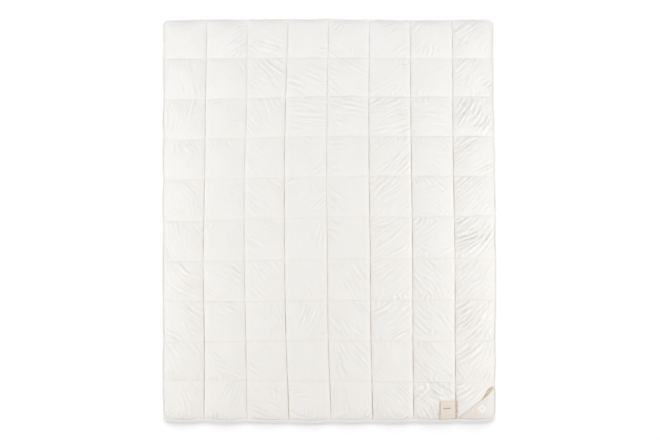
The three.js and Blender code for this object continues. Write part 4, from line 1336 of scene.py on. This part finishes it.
def label_line():
    """The stitches along the square label's sides"""
    inset = LABEL_SIDE / 2 - LABEL_STITCH_INSET
    corners = np.array([(-1, -1), (1, -1), (1, 1), (-1, 1), (-1, -1)]) * inset
    shares = np.linspace(0, 1, LABEL_STITCH_STEPS)[:, None]
    line = np.vstack([start + (end - start) * shares for start, end in zip(corners, corners[1:])])
    x, y = label_place(line[:, 0], line[:, 1])
    return np.column_stack([x, y, label_height(x, y) + LABEL_CLOTH + 0.15])


def label_white_material():
    """White weave with a plain mark"""
    material = new_material("white_weave_finish", WHITE_LABEL, 0.6, 0.15)
    nodes = Nodes(material)
    place = nodes.place("label_place")
    parts = nodes.add("ShaderNodeSeparateXYZ", Vector=place)
    marks = [nodes.within(parts.outputs["Y"], middle, MARK_HALF_WIDTH) for middle in MARK_MIDDLES]
    mark = nodes.maths("ADD", *marks, clamp=True)
    mark = nodes.maths("MULTIPLY", mark, nodes.within(parts.outputs["X"], 0.0, MARK_HALF_LENGTH))
    colour = nodes.mix(nodes.maths("MULTIPLY", mark, 0.6), WHITE_LABEL, LABEL_GREY)
    nodes.finish(colour, nodes.bump(nodes.weave(place, 0.0006), 0.35, 0.00025))
    return material


label_white = label_white_material()
patch_label = patch_label_piece()
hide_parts("patch_label")
stitch_rows("patch_stitches", [hem_line(), label_line()], *FINE_SEWING, white_thread, "natural_cotton")


# The long label: a strip folded over at its top, with both ends in the foot seam

# Top, foot and sides are in squares. The back leaf shows a little beside the front one.
LEAF_TOP, LEAF_FOOT = 0.485, 0.006
BACK_LEAF = {"left": 6.605, "right": 7.025, "bulge": 0.02}
FRONT_LEAF = {"left": 6.625, "right": 6.985}
LEAF_CLOTH, LEAF_APART, LEAF_GAP, LEAF_ROUNDS = 0.8, 1.6, 0.8, 45
LEAF_ROWS, FOLD_ROWS, LEAF_COLUMNS, FOLD_TURN = 41, 11, 33, 75
# How far the front leaf swells and waves over the back one
LEAF_SWELL, LEAF_WAVES = 1.2, 0.5
# A shallow crease in it: a point, the way across it, the x of its ends, and how deep, wide and soft it is
LEAF_CREASE, LEAF_CREASE_ACROSS, LEAF_CREASE_ENDS = (676, -1153.5), (0.38, 0.925), (670, 742)
LEAF_CREASE_DEPTH, LEAF_CREASE_WIDTH, LEAF_CREASE_FADE = 1.1, 3.5, 20
# The size of a leaf as its print is laid out, and bars in metres: middle, half width, left, right, darkness
PRINT_WIDTH, PRINT_LENGTH = 89, 111
BARS = (
    (0.085, 0.002, 0.017, 0.056, 0.3),
    (0.067, 0.0042, 0.017, 0.06, 0.75),
    (0.046, 0.0012, 0.017, 0.05, 0.45),
)
label_lie = ground.laid(LEAF_GAP, LEAF_ROUNDS)


def strip_rows():
    """The strip's rows: how far up, forward and above the cloth, their turn, and 0 behind to 1 in front"""
    radius = (LEAF_APART + LEAF_CLOTH) / 2
    turns = np.radians(np.linspace(-FOLD_TURN, FOLD_TURN, FOLD_ROWS))
    leaf = [LEAF_FOOT + (LEAF_TOP - LEAF_FOOT) * share for share in np.linspace(0, 1, LEAF_ROWS)]
    rows = [(v, 0.0, 0.0, -math.pi / 2, 0.0) for v in leaf]
    rows += [(LEAF_TOP, math.cos(a) * radius, radius + math.sin(a) * radius, a, 0.5 + a / 3) for a in turns]
    return rows + [(v, 0.0, 2 * radius, math.pi / 2, 1.0) for v in reversed(leaf)]


def leaf_crease(x, y):
    """How deep the crease is at a place on the front leaf"""
    off = (x - LEAF_CREASE[0]) * LEAF_CREASE_ACROSS[0] + (y - LEAF_CREASE[1]) * LEAF_CREASE_ACROSS[1]
    start, end = LEAF_CREASE_ENDS
    fade = np.clip((x - start) / LEAF_CREASE_FADE, 0, 1) * np.clip((end - x) / LEAF_CREASE_FADE, 0, 1)
    return LEAF_CREASE_DEPTH * np.exp(-(off / LEAF_CREASE_WIDTH) ** 2) * fade


def seam_label_piece():
    """The long label, and how long its strip is"""
    rows = strip_rows()
    across = np.linspace(0, 1, LEAF_COLUMNS)
    soft = patchy(np.random.default_rng(SEED + 6), (len(rows), len(across)), 9)
    middle, normal, places = [], [], []
    for k, (v, forward, up, turn, front) in enumerate(rows):
        share = v / LEAF_TOP
        swell = math.sin(math.pi * min(1, share))
        left = BACK_LEAF["left"] + (FRONT_LEAF["left"] - BACK_LEAF["left"]) * front
        right = BACK_LEAF["right"] + BACK_LEAF["bulge"] * swell * (1 - front)
        right += (FRONT_LEAF["right"] - right) * front
        u = left + (right - left) * across
        x, y = plan(u, np.full_like(u, v))
        y = y - on_to_rim(v)
        lift = front * (LEAF_SWELL * swell + LEAF_WAVES * soft[k]) * min(1, share * 4)
        z = ground.at(label_lie, x, y) + LEAF_CLOTH / 2 + up + lift - front * leaf_crease(x, y)
        middle.append(np.stack([x, y + forward, z], 1))
        normal.append(np.tile([0, math.cos(turn), math.sin(turn)], (len(u), 1)))
        flat = np.array([share * PRINT_LENGTH, front * 10])
        places.append(np.column_stack([across * PRINT_WIDTH, np.tile(flat, (len(u), 1))]))
    middle, normal, places = np.array(middle), np.array(normal), np.vstack(places)
    outside = (middle + normal * LEAF_CLOTH / 2).reshape(-1, 3)
    inside = (middle - normal * LEAF_CLOTH / 2).reshape(-1, 3)
    index = np.arange(middle[..., 0].size).reshape(middle.shape[:2])
    outer_faces, edge = grid_faces(index), ring(index).tolist()
    points, faces = closed_sheet(outside, inside, outer_faces, edge)
    kinds = [int(places[face[0], 2] < 5) for face in outer_faces] * 2 + [0] * len(edge)
    # The back leaf takes the painted shade
    finishes = [label_printed, label_back_shade]
    piece = make_piece("seam_label_strip", points, faces, finishes, "label_cotton", face_materials=kinds)
    outward(piece)
    add_places(piece, "label_place", np.vstack([places, places]))
    last, column = LEAF_ROWS - 1, LEAF_COLUMNS // 2
    leaf_length = float(np.linalg.norm(middle[last, column] - middle[0, column]))
    return piece, 2 * leaf_length + math.pi * (LEAF_APART + LEAF_CLOTH) / 2


def label_printed_material():
    """Cream tape with plain woven bars"""
    material = new_material("label_cotton_finish", CREAM_LABEL, 0.8, 0.05)
    nodes = Nodes(material)
    place = nodes.place("label_place")
    parts = nodes.add("ShaderNodeSeparateXYZ", Vector=place)
    colour, threads = woven(nodes, place, CREAM_LABEL, NATURAL, 0.0008)
    for middle, half, left, right, share in BARS:
        long = nodes.within(parts.outputs["X"], (left + right) / 2, (right - left) / 2)
        bar = nodes.maths("MULTIPLY", nodes.within(parts.outputs["Y"], middle, half), long)
        colour = nodes.mix(nodes.maths("MULTIPLY", bar, share), colour, LABEL_GREY)
    nodes.finish(colour, threads)
    return material


label_printed = label_printed_material()
seam_label, label_length = seam_label_piece()
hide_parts("seam_label")


# Floor, light and camera

FLOOR_WHITE, FLOOR_WHITE_OTHER = (0.96, 0.96, 0.96), (0.95, 0.95, 0.95)
# Its half size, and how little it lies below the duvet, in metres
FLOOR_HALF, FLOOR_BELOW = 7.0, 0.0004


def stage_floor():
    mesh = bpy.data.meshes.new("floor")
    corners = [(x * FLOOR_HALF, y * FLOOR_HALF, 0) for x, y in ((-1, -1), (1, -1), (1, 1), (-1, 1))]
    mesh.from_pydata(corners, [], [(0, 1, 2, 3)])
    floor = bpy.data.objects.new("floor", mesh)
    floor.location.z = -FLOOR_BELOW
    bpy.context.collection.objects.link(floor)
    material = new_material("floor_finish", FLOOR_WHITE, 0.9)
    nodes = Nodes(material)
    nodes.finish(nodes.mix(nodes.noise(nodes.place(), 3, 2), FLOOR_WHITE, FLOOR_WHITE_OTHER))
    mesh.materials.append(material)
    floor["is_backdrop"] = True
    return floor


floor = stage_floor()

# Softboxes around the duvet, in metres: name, place, what it points at, width, length, power
SOFTBOXES = (
    ("left_low", (-3.2, -0.6, 1.6), (-0.3, -0.4, 0.0), 2.0, 2.4, 19),
    ("right_low", (3.2, -0.6, 1.6), (0.3, -0.4, 0.0), 2.0, 2.4, 31),
    ("left_high", (-4.5, 0.4, 2.8), (-0.2, 0.2, 0.0), 2.4, 3.0, 121),
    ("right_high", (4.5, 0.4, 2.8), (0.2, 0.2, 0.0), 2.4, 3.0, 93),
    ("head_side", (0.2, 4.6, 2.8), (0.0, -0.2, 0.0), 4.0, 2.0, 111),
    ("foot_side", (0.2, -7.5, 4.5), (0.0, 0.2, 0.0), 5.0, 3.0, 336),
)
# Light on the floor alone, which is white with one soft shadow below the foot edge: name, how high it stands
# over the head end and how far it spreads, both in degrees, and strength
FLOOR_LIGHTS = (("floor_from_head", 22, 40, 3.3), ("floor_from_above", 90, 10, 1.62))
WORLD_STRENGTH = 0.186


def lamp_at(light, place, aim, receivers):
    """A lamp at a place, pointed at another, that shines on some things only"""
    lamp = bpy.data.objects.new(light.name, light)
    lamp.location = place
    lamp.rotation_euler = (Vector(aim) - Vector(place)).to_track_quat("-Z", "Y").to_euler()
    lamp.light_linking.receiver_collection = receivers
    bpy.context.collection.objects.link(lamp)


def receivers_of(name, shown):
    """Which things a light reaches: the floor alone, or all but the floor"""
    group = bpy.data.collections.new(name)
    group.objects.link(floor)
    group.collection_objects[0].light_linking.link_state = shown
    return group


all_but_floor = receivers_of("all_but_floor", "EXCLUDE")
floor_alone = receivers_of("floor_alone", "INCLUDE")
for name, place, aim, width, length, power in SOFTBOXES:
    softbox = bpy.data.lights.new(name, "AREA")
    softbox.shape = "RECTANGLE"
    softbox.size, softbox.size_y = width, length
    softbox.energy = power
    lamp_at(softbox, place, aim, all_but_floor)
for name, height, spread, strength in FLOOR_LIGHTS:
    sun = bpy.data.lights.new(name, "SUN")
    sun.angle = math.radians(spread)
    sun.energy = strength
    way = (0.0, math.cos(math.radians(height)), math.sin(math.radians(height)))
    lamp_at(sun, way, (0.0, 0.0, 0.0), floor_alone)

world = bpy.data.worlds.new("studio")
world.use_nodes = True
background = world.node_tree.nodes["Background"]
background.inputs["Color"].default_value = (1, 1, 1, 1)
background.inputs["Strength"].default_value = WORLD_STRENGTH
bpy.context.scene.world = world
bpy.context.scene.view_settings.view_transform = "Standard"

camera_data = bpy.data.cameras.new("camera")
camera_data.sensor_width = SENSOR
camera_data.lens = SENSOR * (CAMERA_HEIGHT - SCALE_HEIGHT) / (IMAGE_WIDTH * PIXEL * MM)
camera = bpy.data.objects.new("camera", camera_data)
offset_x = (IMAGE_WIDTH / 2 - MIDDLE_PIXEL[0]) * PIXEL * MM
offset_y = (MIDDLE_PIXEL[1] - IMAGE_HEIGHT / 2) * PIXEL * MM
camera.location = (offset_x, offset_y, CAMERA_HEIGHT)
bpy.context.collection.objects.link(camera)
bpy.context.scene.camera = camera

boxes = {"cad": cad_box, "visual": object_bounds()}
{name: [[float(n) for n in corner] for corner in box] for name, box in boxes.items()}
